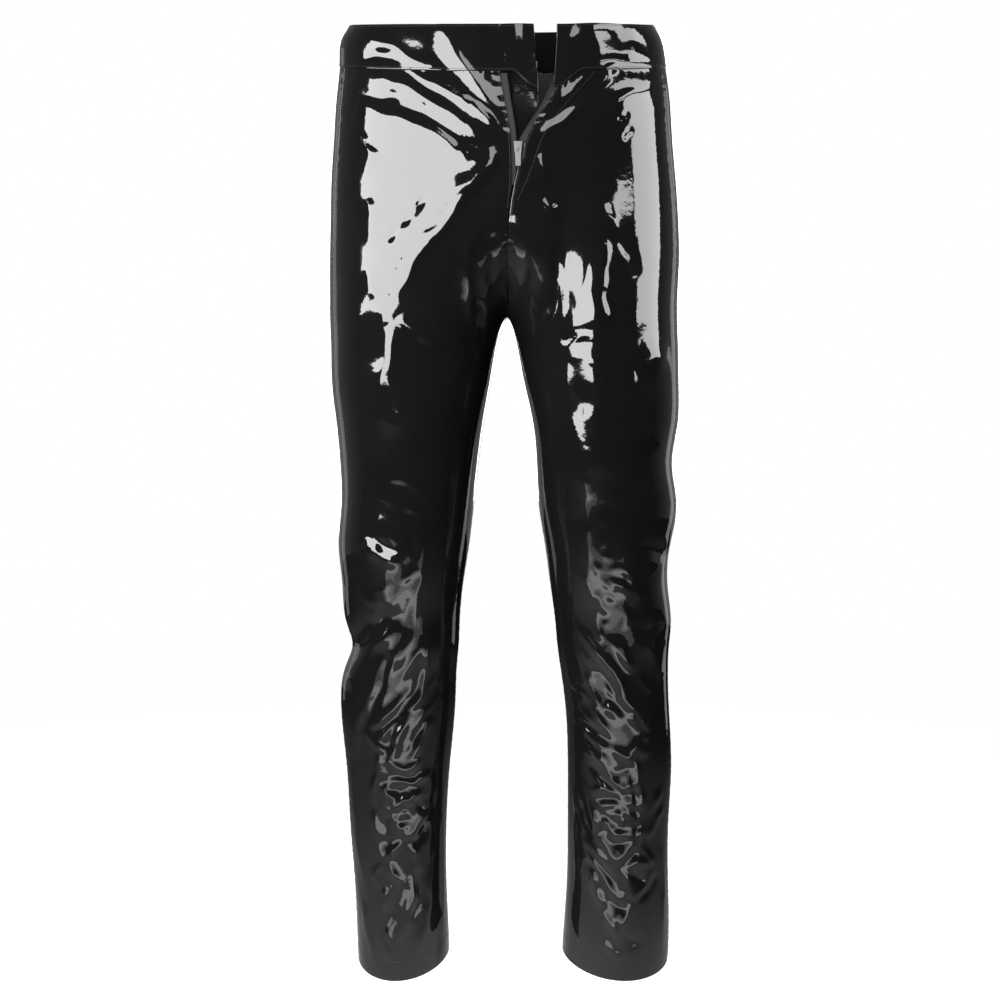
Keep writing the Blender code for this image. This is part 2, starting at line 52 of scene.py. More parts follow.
# %% [markdown]
# ## The form
# Trousers are cut flat, and wear gives them a rounded, hollow form.
# Here one rule gives the whole form: a stack of oval sections for each leg.
# A section's centre starts on the middle plane at the waist, and moves out to
# the middle of the leg below the crotch, which also gives the crotch curve.
# Heights and distances are in millimetres, as on a pattern sheet, and angles
# go round a section from 0 at the outer side, through -90 degrees in front,
# to 180 at the inseam.

# %% Sizes of the form
SECTION_COLUMNS = ("z", "outer_right", "centre_right", "outer_left", "centre_left", "front", "back")
SECTIONS = (
    (40, 164, 0, 151, 0, 91, 104),
    (24, 172, 0, 160, 0, 94, 107),
    (8, 182, 0, 169, 0, 96, 110),
    (-14, 185, 0, 174, 0, 98, 114),
    (-58, 189, 0, 180, 0, 101, 121),
    (-103, 192, 0, 183, 0, 104, 130),
    (-148, 195, 8, 187, 8, 105, 137),
    (-193, 196, 34, 190, 33, 105, 139),
    (-238, 197, 68, 191, 66, 102, 133),
    (-283, 197, 94, 189, 91, 98, 120),
    (-297, 197, 98.5, 189, 94.5, 97, 115),
    (-327, 196, 103, 190, 99.5, 94, 106),
    (-372, 195, 106.5, 191, 104.5, 92, 97),
    (-417, 190, 108, 190, 109, 89, 89),
    (-462, 186, 109, 184, 108, 85, 80),
    (-507, 185, 111, 189, 112, 80, 71),
    (-551, 188, 115, 182, 112, 77, 64),
    (-596, 184, 116.5, 179, 113.5, 71, 62),
    (-641, 179, 116, 183, 118.5, 64, 66),
    (-664, 173, 113.5, 181, 118.5, 62, 69),
    (-686, 180, 118, 180, 119.5, 59, 71),
    (-731, 186, 122, 181, 123, 56, 74),
    (-798, 180, 122, 184, 126, 53, 74),
    (-865, 176, 122, 181, 124.5, 51, 70),
    (-932, 171, 119.5, 181, 124, 51, 67),
    (-977, 169, 117.5, 182, 123, 52, 67),
    (-1040, 167, 115.5, 180, 120, 53, 67),
)
FLY_EDGE_COLUMNS = ("z", "right", "left")      # X of each front's edge beside the open fly
FLY_EDGES = ((-20, -9, 50), (-49, -6, 45), (-75, -2, 34.5), (-100, 2, 24.5), (-118, 4, 18),
             (-132, 4.6, 16.5), (-145, 4.8, 11), (-160, 4.5, 7.5), (-177, 3, 4.2), (-200, 0.8, 1.3),
             (-215, -0.15, 0.15))
ZIP_COLUMNS = ("z", "right", "left")           # X of each zip chain
ZIP_LINES = ((-40, -1, 54), (-75, 4, 37), (-100, 8.4, 21), (-115, 9.8, 12.2), (-130, 9.8, 12.2),
             (-136, 10, 10.6), (-165, 8, 8.6))
SHIELD_COLUMNS = ("z", "x")                    # X of the fly shield's free edge
SHIELD_EDGE = ((-28, 32), (-75, 33), (-105, 30), (-135, 24), (-155, 18), (-170, 13))

SEAM_GAP = 0.04                # the sewn cloth meets, where the solids keep 0.3 mm apart
BAND_HEIGHT, BAND_TOP_SIDE, BAND_FRONT_DROP, BAND_BACK_RISE, BAND_END_DIP = 46.0, 23.0, 15.0, 10.0, 18.0
BAND_FRONT_SAG = 4.0                           # the band is a little deeper in front
BAND_END = {RIGHT: (28.0, 31.0), LEFT: (53.0, 46.0)}   # X of the band's end, top and bottom
BAND_DIP_RUN = {RIGHT: (4.0, 30.0), LEFT: (-82.0, -50.0)}
WAIST_LEVEL, HEM_LEVEL, FLY_BOTTOM = -23.0, -1000.0, -215.0
HEM_DIP, HEM_LOWEST_ANGLE = 30.0, -75.0
SIDE_SEAM_WAIST, SIDE_SEAM_HEM = -17.0, -8.0
WAIST_REACH, HEM_REACH = 110.0, 160.0


def ease(low, high, value):
    """0 below low, 1 above high, and a soft step between."""
    t = np.clip((np.asarray(value, float) - low) / (high - low), 0, 1)
    return t * t * (3 - 2 * t)


def smooth_curve(stations, values):
    """A natural cubic curve through the values."""
    order = np.argsort(stations)
    x, y = np.asarray(stations, float)[order], np.asarray(values, float)[order]
    count, step = len(x), np.diff(x)
    matrix, rhs = np.eye(count), np.zeros(count)
    for i in range(1, count - 1):
        matrix[i, i - 1:i + 2] = step[i - 1], 2 * (step[i - 1] + step[i]), step[i]
        rhs[i] = 6 * ((y[i + 1] - y[i]) / step[i] - (y[i] - y[i - 1]) / step[i - 1])
    bend = np.linalg.solve(matrix, rhs)

    def curve(q):
        q = np.clip(np.asarray(q, float), x[0], x[-1])
        i = np.clip(np.searchsorted(x, q) - 1, 0, count - 2)
        h, a, b = step[i], (x[i + 1] - q) / step[i], (q - x[i]) / step[i]
        return a * y[i] + b * y[i + 1] + ((a**3 - a) * bend[i] + (b**3 - b) * bend[i + 1]) * h * h / 6

    return curve


def straight_curve(stations, values):
    """Straight runs through the values."""
    order = np.argsort(stations)
    x, y = np.asarray(stations, float)[order], np.asarray(values, float)[order]
    return lambda q: np.interp(q, x, y)


def table_curves(columns, rows, curve):
    """One curve over z for each named column of a table."""
    data = np.array(rows, float)
    return {name: curve(data[:, 0], data[:, i]) for i, name in enumerate(columns) if i}


SECTION = table_curves(SECTION_COLUMNS, SECTIONS, smooth_curve)
FLY_EDGE = table_curves(FLY_EDGE_COLUMNS, FLY_EDGES, straight_curve)
ZIP_LINE = table_curves(ZIP_COLUMNS, ZIP_LINES, straight_curve)
SHIELD_FREE_EDGE = table_curves(SHIELD_COLUMNS, SHIELD_EDGE, smooth_curve)["x"]
print("form:", len(SECTIONS), "sections from", SECTIONS[0][0], "to", SECTIONS[-1][0], "mm")

# %% Points of the form
def section_sizes(side, z):
    """Centre, half width, and the depths in front and behind."""
    centre = SECTION["centre_" + SIDE_NAME[side]](z)
    return centre, SECTION["outer_" + SIDE_NAME[side]](z) - centre, SECTION["front"](z), SECTION["back"](z)


def form(side, angle, z):
    """Points of the smooth form at angles (radians) and heights."""
    centre, half, front, back = section_sizes(side, z)
    x = side * (centre + half * np.cos(angle))
    y = np.where(np.asarray(angle) < 0, front, back) * np.sin(angle)
    return np.stack(np.broadcast_arrays(x, y, z), axis=-1)


def unit(vectors):
    return vectors / np.maximum(np.linalg.norm(vectors, axis=-1, keepdims=True), 1e-9)


def form_outward(side, angle, z):
    """Outward direction of the smooth form."""
    around = form(side, angle + 0.002, z) - form(side, angle - 0.002, z)
    along = form(side, angle, z + 0.5) - form(side, angle, z - 0.5)
    return unit(np.cross(around, along)) * side


def angle_at(side, x, z, face):
    """The section's angle where the surface is x from the middle plane."""
    centre, half, _, _ = section_sizes(side, z)
    turn = np.arccos(np.clip((x - centre) / half, -1, 1))
    return -turn if face == "front" else turn


def band_top(angle):
    slant = np.sin(angle)
    return BAND_TOP_SIDE + np.where(slant < 0, BAND_FRONT_DROP, BAND_BACK_RISE) * slant


def band_bottom(side, angle):
    """Height of the seam under the waistband, which dips at the band's front ends."""
    level = band_top(angle) - BAND_HEIGHT - BAND_FRONT_SAG * np.maximum(-np.sin(angle), 0) ** 2
    x = side * section_sizes(side, level)[1] * np.cos(angle)
    dip = BAND_END_DIP * ease(*BAND_DIP_RUN[side], x if side == RIGHT else -x)
    return level - np.where(np.sin(angle) < 0, dip, 0)


def height_at(side, angle, level):
    """Height of a point on a row, with the slants of the waist and of the hem."""
    top_share = np.clip(1 - (WAIST_LEVEL - level) / WAIST_REACH, 0, 1) ** 2
    hem_share = np.clip(1 - (level - HEM_LEVEL) / HEM_REACH, 0, 1) ** 2
    top_shift = band_bottom(side, angle) - SEAM_GAP / 2 - WAIST_LEVEL
    hem_turn = (1 + np.cos(angle - math.radians(HEM_LOWEST_ANGLE))) / 2
    return level + top_shift * top_share - HEM_DIP * hem_turn**1.5 * hem_share


# %% [markdown]
# ## Creases
# PVC film doesn't stretch or soften, so it buckles into long, crisp ridges:
# tension lines fan out from the bottom of the fly, the knees stack up short
# diagonal folds, and the shins carry long diagonals that end in a crumple. A
# cloth simulation could make such folds, but not these ones, so each is
# given as a row: a line on the form, its width and height, how crisp its
# crest is, and how far it leans. Negative heights are troughs.

# %% The main creases
# A row is x0, z0, x1, z1, bow, width, height in mm and, where they aren't 1.5 and 0, crisp and lean.
# Crisp is 2 for a soft crest and 1.2 for a sharp one; lean over 0 widens the flank that the bow points to.
CREASES = {
    (RIGHT, "front"): (
        # tension lines from the fly to the hip and into the waistband
        (-10, -117, 114, -34, 5, 4.2, 1.9), (-24, -130, 48, -78, 4, 4.0, 1.3),
        (84, -36, 152, -3, 3, 5.5, 2.0), (108, -27, 174, -17, 1, 7, -2.4), (14, -117, 154, -40, 6, 8, 2.8),
        (112, -69, 168, -60, 1, 6, -1.5), (123, -53, 96, -68, 0, 2.4, -0.8),
        (22, -147, 164, -72, 9, 13, 3.4, 1.4, -0.4), (42, -132, 82, -102, 1, 2.6, 1.0),
        (25, -127, 66, -111, 0, 2.2, 0.7), (2, -92, 72, 16, -7, 6, 2.0),
        (42, -64, 86, 16, -6, 8, -2.0, 1.6), (4, -126, 124, -282, 2, 17, 4.2, 1.3, 0.65),
        (4, -126, 62, -190, 0, 8, 1.8, 1.5, 0.3), (34, -163, 92, -214, 1, 3.5, -1.5, 1.6),
        (80, -166, 101, -195, 2, 3.5, -1.6, 1.6), (103, -192, 113, -208, 2, 3.5, -1.6, 1.6),
        (115, -205, 125, -222, 2, 3.5, -1.6, 1.6), (108, -239, 119, -250, 2, 3.5, -1.4, 1.6),
        (166, -98, 130, -128, 2, 3, -1.0), (150, -104, 149, -150, 0, 8, 1.2),
        (147, -170, 144, -226, 0, 9, 1.5), (150, -252, 126, -312, 3, 9, 2.0),
        # round the crotch and down the thigh
        (0, -164, 20, -218, 2, 6, 1.8, 1.5, 0.3), (29, -183, 25, -352, 16, 6, 1.8),
        (16, -220, 20, -338, 3, 5, 1.6), (10, -205, 14, -286, 6, 5, -1.6, 1.6),
        (112, -299, 70, -332, 3, 7, 2.2), (120, -262, 136, -412, 0, 12, 3.2, 1.4),
        # knee and shin, the main ones
        (158, -532, 116, -554, 4, 6, -2.6), (157, -541, 118, -567, 5, 7, 3.2, 1.4),
        (171, -655, 112, -622, -6, 9, -2.4), (125, -630, 176, -700, 0, 10, 2.6, 1.8),
    ),
    (RIGHT, "back"): (
        # seat, back of the thigh, back of the knee, calf
        (28, -58, 152, -26, 5, 14, 1.8, 1.7), (20, -150, 142, -232, 14, 16, -2.2, 1.8),
        (30, -120, 150, -150, 8, 14, 1.6, 1.8), (175, -300, 60, -345, -12, 12, -4.2),
        (170, -318, 54, -364, -10, 9, 2.8), (165, -375, 55, -392, -10, 11, -3.2),
        (150, -430, 82, -456, -6, 8, -2.2), (172, -520, 86, -532, -6, 7, -3.2, 1.4),
        (168, -536, 76, -549, -6, 7, 2.8, 1.4), (172, -552, 70, -566, -8, 8, -4.4, 1.4),
        (165, -572, 74, -580, -6, 7, 3.2, 1.4), (70, -590, 165, -604, -8, 8, -5.0, 1.4),
        (160, -616, 76, -612, -5, 7, 3.2, 1.4), (170, -632, 80, -650, -6, 8, -4.4, 1.4),
        (160, -655, 90, -669, -6, 7, 2.8, 1.4), (85, -700, 160, -806, 8, 9, 3.8),
        (96, -690, 168, -780, 6, 8, -2.8), (150, -860, 90, -881, -4, 6, -3.0, 1.4),
        (155, -875, 85, -899, -4, 6, 3.0, 1.4), (150, -895, 90, -921, 6, 7, -3.4, 1.4),
        (148, -930, 96, -946, -3, 6, 2.4, 1.4),
    ),
    (LEFT, "front"): (
        (34, -114, 110, -42, -2.5, 4.5, 2.6), (56, -76, 120, -35, 8, 4.5, 2.6),
        (91, -34, 156, -26, 4, 4, -1.8), (60, -14, 120, 12, 5, 9, 2.4, 1.6),
        (80, -104, 160, -50, 5, 12, 3.0, 1.4, -0.4), (116, -94, 130, -84, 1, 2.6, -0.8),
        (122, -112, 134, -100, 1, 2.6, -0.8), (102, -184, 118, -219, 2, 5, 1.4),
        (118, -215, 136, -262, 3, 7, -1.6), (40, -110, 9, -176, 7, 3.5, 0.9),
        (37, -128, 35, -168, 1, 5, 2.2, 1.4), (36, -178, 55, -198, 2, 6, 2.4, 1.4),
        (43, -230, 28, -312, 9, 6, 1.8), (12, -205, 16, -290, 5, 5, -1.6, 1.6),
        (38, -250, 42, -400, 3, 11, 1.0, 1.6), (65, -136, 46, -325, 0, 18, -5.4, 1.4, 0.4),
        (72, -342, 88, -445, -2, 11, -2.8, 1.4, 0.4), (104, -166, 98, -452, -3, 14, 3.6, 1.3, -0.4),
        (99, -181, 92, -330, 0, 16, 3.3, 1.4, -0.45), (26, -418, 140, -418, 0, 98, 6.5, 2.0),
        (52, -228, 50, -318, 7, 3.6, 1.2), (85, -236, 77, -305, 2, 2.6, -0.9, 1.6),
        (63, -330, 92, -314, 2, 3, 1.3), (92, -352, 104, -345, 1, 3, 1.1),
        (58, -326, 100, -314, 3, 4, -1.0), (138, -350, 176, -338, 0, 14, 2.4, 1.6),
        # knee and shin, the main ones
        (180, -567, 140, -552, -5, 9, -2.4, 1.6), (172, -627, 142, -652, 3, 8, -2.2, 1.6),
        (69, -632, 151, -759, 8, 7, 1.5), (71, -655, 146, -776, 6, 6, -1.4),
    ),
    (LEFT, "back"): (
        # back
        (24, -46, 140, -34, 6, 14, 1.6, 1.7), (22, -160, 136, -226, 12, 16, -2.2, 1.8),
        (34, -112, 146, -158, 8, 14, 1.6, 1.8), (172, -306, 58, -338, -12, 12, -4.2),
        (166, -326, 56, -360, -10, 9, 2.8), (160, -366, 62, -398, -8, 11, -3.2),
        (158, -440, 90, -448, -6, 8, -2.2), (170, -526, 80, -522, -6, 7, -3.0, 1.4),
        (172, -541, 72, -541, -6, 7, 2.8, 1.4), (168, -552, 66, -560, -8, 8, -4.4, 1.4),
        (170, -574, 78, -578, -6, 7, 3.2, 1.4), (72, -598, 168, -590, -6, 8, -5.0, 1.4),
        (164, -612, 80, -618, -5, 7, 3.2, 1.4), (166, -645, 84, -634, -8, 8, -4.4, 1.4),
        (158, -660, 92, -657, -6, 7, 2.6, 1.4), (96, -690, 168, -800, 8, 9, 3.8),
        (88, -706, 150, -800, 4, 8, -2.8), (156, -850, 92, -866, -4, 6, 2.8, 1.4),
        (160, -905, 92, -885, 6, 7, -3.4, 1.4), (152, -884, 88, -902, -4, 6, 3.0, 1.4),
        (150, -942, 98, -934, -3, 6, 2.4, 1.4),
    ),
}

# %% [markdown]
# ### Fine creases
# The many fine folds of the knees and shins have a table of their own. Where
# each starts, passes and ends was read off the photograph, in pixels,
# and one scale turns those into millimetres on the leg. Widths and heights
# are chosen sizes.

# %% The fine creases
# A row is the pixels (x, y) of its start, of a point on its way and of its end, then width and height in mm.
FINE_CREASES = {
    RIGHT: (
        (381, 405, 375, 438, 380, 468, 3, 0.8), (400, 420, 412, 440, 420, 466, 3.5, 1),
        (388, 400, 410, 420, 429, 443, 4, 1.3), (398, 400, 416, 420, 433, 440, 3, -1),
        (408, 398, 418, 415, 430, 436, 3, 0.9), (374, 480, 398, 474, 424, 500, 4, 1.7),
        (380, 484, 400, 483, 418, 502, 3.5, -1.3), (371, 491, 384, 502, 402, 510, 4, 0.7),
        (372, 486, 386, 494, 402, 500, 3, -1), (386, 496, 408, 502, 426, 517, 4, 1.5),
        (396, 508, 410, 512, 424, 524, 3, -1.1), (380, 510, 396, 516, 412, 528, 4, 0.5),
        (355, 526, 382, 518, 406, 536, 7, 1), (418, 518, 421, 543, 418, 572, 3.5, 1.5),
        (411, 520, 413, 540, 411, 562, 3, -1), (404, 528, 408, 545, 404, 560, 3, 1.1),
        (352, 586, 368, 594, 374, 606, 6, 2.4), (374, 604, 371, 622, 356, 642, 6, 2.6),
        (382, 598, 382, 618, 362, 648, 6, -2.6), (372, 588, 385, 585, 392, 578, 2.5, 0.8),
        (403, 583, 412, 570, 422, 568, 3.5, 1.5), (421, 570, 419, 592, 400, 665, 3.8, 2),
        (412, 588, 408, 610, 394, 650, 3.5, -1.6), (403, 583, 394, 598, 396, 632, 3, 1.2),
        (398, 628, 396, 655, 380, 700, 4.5, 1.6), (424, 633, 430, 652, 409, 712, 4, 2.4),
        (409, 710, 398, 736, 386, 766, 4.5, 2.4), (400, 712, 390, 738, 380, 762, 4, -1.8),
        (421, 655, 420, 675, 402, 706, 4, -1.8), (422, 640, 410, 664, 396, 690, 3.2, 1.5),
        (383, 655, 366, 690, 350, 760, 6.5, 2.2), (392, 655, 376, 690, 364, 735, 5.5, -1.1),
        (407, 688, 392, 706, 366, 731, 3.5, 1.4), (404, 702, 390, 718, 370, 736, 3, -1.1),
        (402, 712, 392, 724, 378, 744, 3.2, 1.1), (430, 718, 424, 736, 408, 760, 3.8, 1.9),
        (421, 726, 414, 742, 404, 757, 3, -1.5), (442, 668, 430, 686, 417, 704, 2.6, 0.7),
        (444, 690, 428, 708, 414, 728, 2.6, 0.7), (366, 730, 372, 742, 388, 752, 3.5, 1.6),
        (381, 748, 375, 778, 374, 808, 3.2, 1.5), (374, 806, 373, 832, 384, 868, 3.2, 1.5),
        (386, 812, 382, 830, 390, 850, 5, -1.8), (386, 760, 398, 769, 420, 757, 3.6, 1.8),
        (392, 774, 402, 776, 416, 771, 2.6, -1.2), (384, 780, 402, 782, 424, 774, 3.4, 1.6),
        (386, 790, 398, 792, 408, 790, 3, -1.6), (384, 784, 390, 796, 412, 800, 3.6, 1.6),
        (426, 776, 428, 792, 424, 812, 3.4, 1.6), (417, 798, 420, 808, 418, 816, 3.5, -1.8),
        (388, 806, 402, 808, 416, 802, 4, 1.6), (386, 812, 396, 826, 403, 842, 3.6, 1.6),
        (432, 812, 418, 826, 404, 842, 4.5, 1.8), (430, 830, 420, 838, 410, 848, 4.5, -2.2),
        (403, 842, 392, 852, 387, 862, 3.2, 1.4), (405, 842, 415, 856, 414, 874, 3.4, 1.6),
        (388, 862, 396, 876, 402, 890, 3.2, 1.5), (414, 872, 411, 900, 402, 950, 4, 1.8),
        (400, 886, 402, 915, 400, 948, 3, 1.2), (394, 880, 392, 905, 388, 935, 5, -1.8),
        (419, 870, 417, 895, 410, 925, 4, -1.4), (386, 868, 374, 876, 378, 892, 3, 1.4),
        (386, 870, 395, 880, 386, 896, 3, 1.4), (380, 892, 383, 902, 384, 914, 2.8, 1.8),
        (387, 928, 391, 945, 394, 958, 2.6, 1.2), (350, 770, 354, 835, 366, 905, 5, 1.4),
        (360, 905, 364, 935, 376, 972, 5, 1.6), (441, 765, 442, 850, 441, 945, 3, 0.7),
        (434, 760, 434, 830, 432, 870, 4, -0.9), (432, 870, 428, 910, 418, 965, 6, 1.6),
        (378, 935, 386, 955, 392, 975, 4, 1.2),
    ),
    LEFT: (
        (595, 425, 590, 450, 591, 470, 3, 0.9), (590, 472, 588, 485, 592, 492, 4, 1.3),
        (613, 460, 610, 478, 604, 500, 3.4, 1.4), (604, 500, 604, 508, 600, 520, 4.5, 1.5),
        (621, 489, 616, 496, 610, 503, 3.6, 1.5), (594, 497, 587, 520, 588, 558, 3, 1.2),
        (609, 527, 602, 540, 603, 550, 3, 1.3), (602, 548, 606, 554, 612, 556, 3, 1.2),
        (661, 545, 650, 556, 636, 568, 4.5, 1.6), (668, 556, 655, 568, 642, 576, 5, -2),
        (592, 562, 598, 565, 596, 572, 4, 1.6), (606, 568, 628, 567, 636, 584, 3.2, 1.3),
        (605, 577, 620, 582, 640, 598, 3.6, 1.7), (612, 574, 624, 575, 632, 588, 4, -1.4),
        (630, 568, 634, 582, 640, 597, 3, 1.2), (608, 592, 626, 603, 642, 612, 8, -1.8),
        (595, 568, 603, 580, 612, 592, 2.8, 1.2), (594, 586, 599, 596, 603, 610, 2.8, 1.6),
        (604, 590, 610, 596, 614, 600, 2.6, 1.4), (614, 590, 624, 612, 620, 630, 3.2, 1.6),
        (620, 628, 624, 645, 634, 664, 3.2, 1.5), (605, 615, 603, 628, 602, 640, 3.2, 1.6),
        (602, 638, 605, 655, 612, 672, 3.5, 1.2), (608, 632, 622, 652, 633, 670, 3.6, 2),
        (610, 636, 612, 665, 634, 705, 4, 1.8), (632, 702, 645, 718, 650, 732, 3.5, 2),
        (648, 732, 642, 740, 634, 741, 3, 1.4), (637, 672, 644, 682, 653, 692, 3.5, 1.4),
        (637, 628, 652, 650, 664, 680, 8, 2.2), (578, 560, 585, 582, 594, 602, 6, 1.6),
        (588, 580, 597, 615, 603, 650, 5, 1.4), (572, 618, 590, 640, 618, 690, 4, 1.3),
        (618, 688, 628, 704, 636, 712, 4, 1.6), (574, 625, 580, 660, 588, 690, 3.5, 1.4),
        (586, 688, 598, 712, 612, 740, 3.5, 1.7), (580, 648, 588, 660, 597, 672, 3, 1.8),
        (597, 672, 608, 690, 620, 705, 3, 1.4), (583, 672, 592, 690, 604, 712, 3, 1.5),
        (605, 703, 615, 712, 626, 722, 4, 1.8), (630, 712, 634, 718, 630, 724, 3, 1.4),
        (570, 682, 580, 690, 590, 702, 3, 1.5), (574, 705, 590, 718, 604, 730, 5, 1.5),
        (580, 715, 596, 730, 610, 742, 4.5, -1.3), (574, 720, 592, 738, 612, 748, 3.6, 1.6),
        (610, 745, 624, 755, 636, 765, 4, 1.8), (580, 735, 590, 750, 600, 762, 3.5, 1.8),
        (598, 745, 606, 758, 612, 768, 4, 1.5), (632, 742, 640, 750, 646, 760, 4, 1.8),
        (556, 560, 559, 600, 568, 680, 4, 1.2), (594, 755, 606, 766, 616, 778, 3.5, 1.6),
        (612, 778, 620, 785, 626, 792, 3.5, 2.2), (590, 765, 606, 780, 620, 796, 3, -1.6),
        (636, 760, 641, 790, 641, 820, 3.4, 1.9), (641, 820, 642, 835, 643, 850, 3, 1.5),
        (634, 770, 635, 795, 636, 815, 2.8, -1.6), (628, 768, 632, 785, 631, 805, 3, 1.4),
        (582, 775, 590, 810, 602, 845, 3.2, 1.5), (578, 790, 578, 812, 590, 835, 3.2, 1.8),
        (584, 800, 586, 818, 596, 838, 4, -2), (590, 795, 602, 791, 614, 790, 3, 1.2),
        (596, 800, 610, 799, 620, 800, 4, -1.2), (602, 818, 608, 826, 616, 832, 2.8, 1.6),
        (615, 812, 620, 820, 622, 828, 2.8, 1.6), (596, 808, 610, 806, 624, 808, 2.8, 0.7),
        (604, 838, 620, 836, 638, 843, 4, 1.6), (602, 835, 610, 852, 620, 866, 3.6, 1.5),
        (638, 846, 628, 852, 621, 866, 3.2, 1.9), (640, 852, 632, 858, 626, 868, 3, -1.8),
        (643, 850, 650, 860, 657, 872, 3.2, 1.2), (624, 868, 640, 866, 657, 872, 3.6, 1.5),
        (632, 874, 640, 882, 646, 886, 4, -2), (656, 874, 648, 886, 636, 902, 3.4, 1.6),
        (660, 880, 650, 892, 640, 904, 4, -1.8), (622, 870, 628, 885, 636, 902, 3.2, 1.4),
        (634, 902, 628, 918, 618, 945, 4, 1.7), (582, 852, 600, 875, 622, 905, 3.5, 1.4),
        (590, 870, 598, 895, 606, 912, 4.5, 2), (612, 898, 618, 906, 628, 908, 4, -1.8),
        (606, 912, 612, 930, 620, 948, 3.6, 1.8), (616, 912, 617, 924, 614, 936, 3, 1.4),
        (598, 860, 612, 880, 624, 895, 6, -1.4), (580, 845, 600, 856, 618, 880, 6, 1.2),
        (664, 850, 666, 900, 664, 960, 5, 1.6), (648, 840, 658, 822, 668, 810, 4, 1.6),
        (650, 815, 660, 800, 668, 790, 4, 1.4), (604, 945, 612, 955, 624, 962, 3, 1.2),
        (624, 936, 634, 945, 640, 935, 6, -1.4), (575, 790, 577, 850, 576, 900, 3.4, 1.2),
    ),
}
FINE_CRISP = 1.4
PHOTO_MIDDLE_X, PHOTO_TOP_Z, MM_PER_PIXEL = 507, 43, 1.09      # the middle plane, the top row, the scale
FINE_LEVELS, FINE_STRENGTHS = (-900, -640, -570, -500), (1.0, 0.85, 0.45, 0.32)   # fainter above the knee
print("creases placed by hand:", sum(len(rows) for rows in (*CREASES.values(), *FINE_CREASES.values())))

# %% [markdown]
# ### Crumpled zones
# Between the folds the film is crumpled: short creases at uneven places and
# leans. They are drawn from a seeded random order, so that every run is the
# same.

# %% Crumpled zones
# Zones of small broken creases: face, x, z, spread in x and z, count, and lean (degrees from level).
CRUMPLES = {
    RIGHT: (
        ("front", 112, -830, 22, 60, 16, -28),
        ("back", 122, -590, 34, 60, 18, -8),
        ("back", 120, -890, 30, 50, 18, -18),
    ),
    LEFT: (
        ("front", 127, -850, 20, 60, 18, 5),
        ("back", 124, -590, 34, 60, 18, -4),
        ("back", 124, -892, 30, 50, 18, -10),
    ),
}
CREASE_SAMPLES = 22
BACK_TALL, BACK_EASE = 2.5, 0.75               # folds of the back taller than this hang softer
CRUMPLE_SEED, CRUMPLE_TURN, CRUMPLE_CRISP = 7, 32, 1.4
CRUMPLE_HALF_LENGTH, CRUMPLE_HEIGHT, CRUMPLE_BOW = (6, 15), (0.5, 1.2), (-3, 3)
CRUMPLE_WIDTH, CRUMPLE_LEAN = (2.6, 4.4), (-0.4, 0.4)
FLY_CALM_WIDTH, FLY_CALM_FADE, FLY_CALM = (20.0, 5.0), 40.0, 0.75      # creases fade beside the fly


def crumple_rows(random, x, z, spread_x, spread_z, count, lean):
    """Short creases at uneven places and leans inside one zone."""
    rows = []
    for i in range(count):
        at_x, at_z = x + random.normal() * spread_x * 0.5, z + random.normal() * spread_z * 0.5
        turn = math.radians(lean + random.normal() * CRUMPLE_TURN)
        half = random.uniform(*CRUMPLE_HALF_LENGTH)
        height = random.uniform(*CRUMPLE_HEIGHT) * (1 if i % 2 else -1)
        rows.append((at_x - half * math.cos(turn), at_z - half * math.sin(turn),
                     at_x + half * math.cos(turn), at_z + half * math.sin(turn), random.uniform(*CRUMPLE_BOW),
                     random.uniform(*CRUMPLE_WIDTH), height, CRUMPLE_CRISP, random.uniform(*CRUMPLE_LEAN)))
    return rows


# %% [markdown]
# ### From rows to folds
# Each row becomes a bowed line on the form. A point of the cloth is lifted by
# every line near it, most at the crest and less to the sides, and a line's
# height swells, sinks and fades out at its ends, as a buckle in film does.

# %% Lay the creases
def fine_row(start_x, start_y, way_x, way_y, end_x, end_y, width, height):
    """A crease row in mm from the pixels where a fine crease starts, passes and ends."""
    pixels = ((start_x, start_y), (way_x, way_y), (end_x, end_y))
    (x0, z0), (x, z), (x1, z1) = [
        (abs(across - PHOTO_MIDDLE_X) * MM_PER_PIXEL, PHOTO_TOP_Z - MM_PER_PIXEL * down)
        for across, down in pixels]
    bow = (z - (z0 + z1) / 2) * (x1 - x0) - (x - (x0 + x1) / 2) * (z1 - z0)
    bow /= math.hypot(x1 - x0, z1 - z0)
    height *= np.interp(round(z0), FINE_LEVELS, FINE_STRENGTHS)
    return round(x0), round(z0), round(x1), round(z1), round(bow), width, height, FINE_CRISP


def crease(side, face, x0, z0, x1, z1, bow, width, height, crisp=1.5, lean=0):
    """One crease: points along it, laid on the form, and its width, height, crispness and lean."""
    if face == "back" and abs(height) > BACK_TALL:
        height = round(height * BACK_EASE, 1)
    t = np.linspace(0, 1, CREASE_SAMPLES)
    length, bulge = math.hypot(x1 - x0, z1 - z0), bow * 4 * t * (1 - t)
    x = x0 + (x1 - x0) * t - (z1 - z0) / length * bulge
    z = z0 + (z1 - z0) * t + (x1 - x0) / length * bulge
    return form(side, angle_at(side, x, z, face), z), width, height, crisp, lean


def crease_lines(side):
    random = np.random.RandomState(CRUMPLE_SEED + side)
    made = [crease(side, face, *row) for face in ("front", "back") for row in CREASES[side, face]]
    made += [crease(side, "front", *fine_row(*row)) for row in FINE_CREASES[side]]
    for face, *zone in CRUMPLES[side]:
        made += [crease(side, face, *row) for row in crumple_rows(random, *zone)]
    return made


CREASE_LINES = {side: crease_lines(side) for side in (RIGHT, LEFT)}
print("creases:", {SIDE_NAME[side]: len(lines) for side, lines in CREASE_LINES.items()})

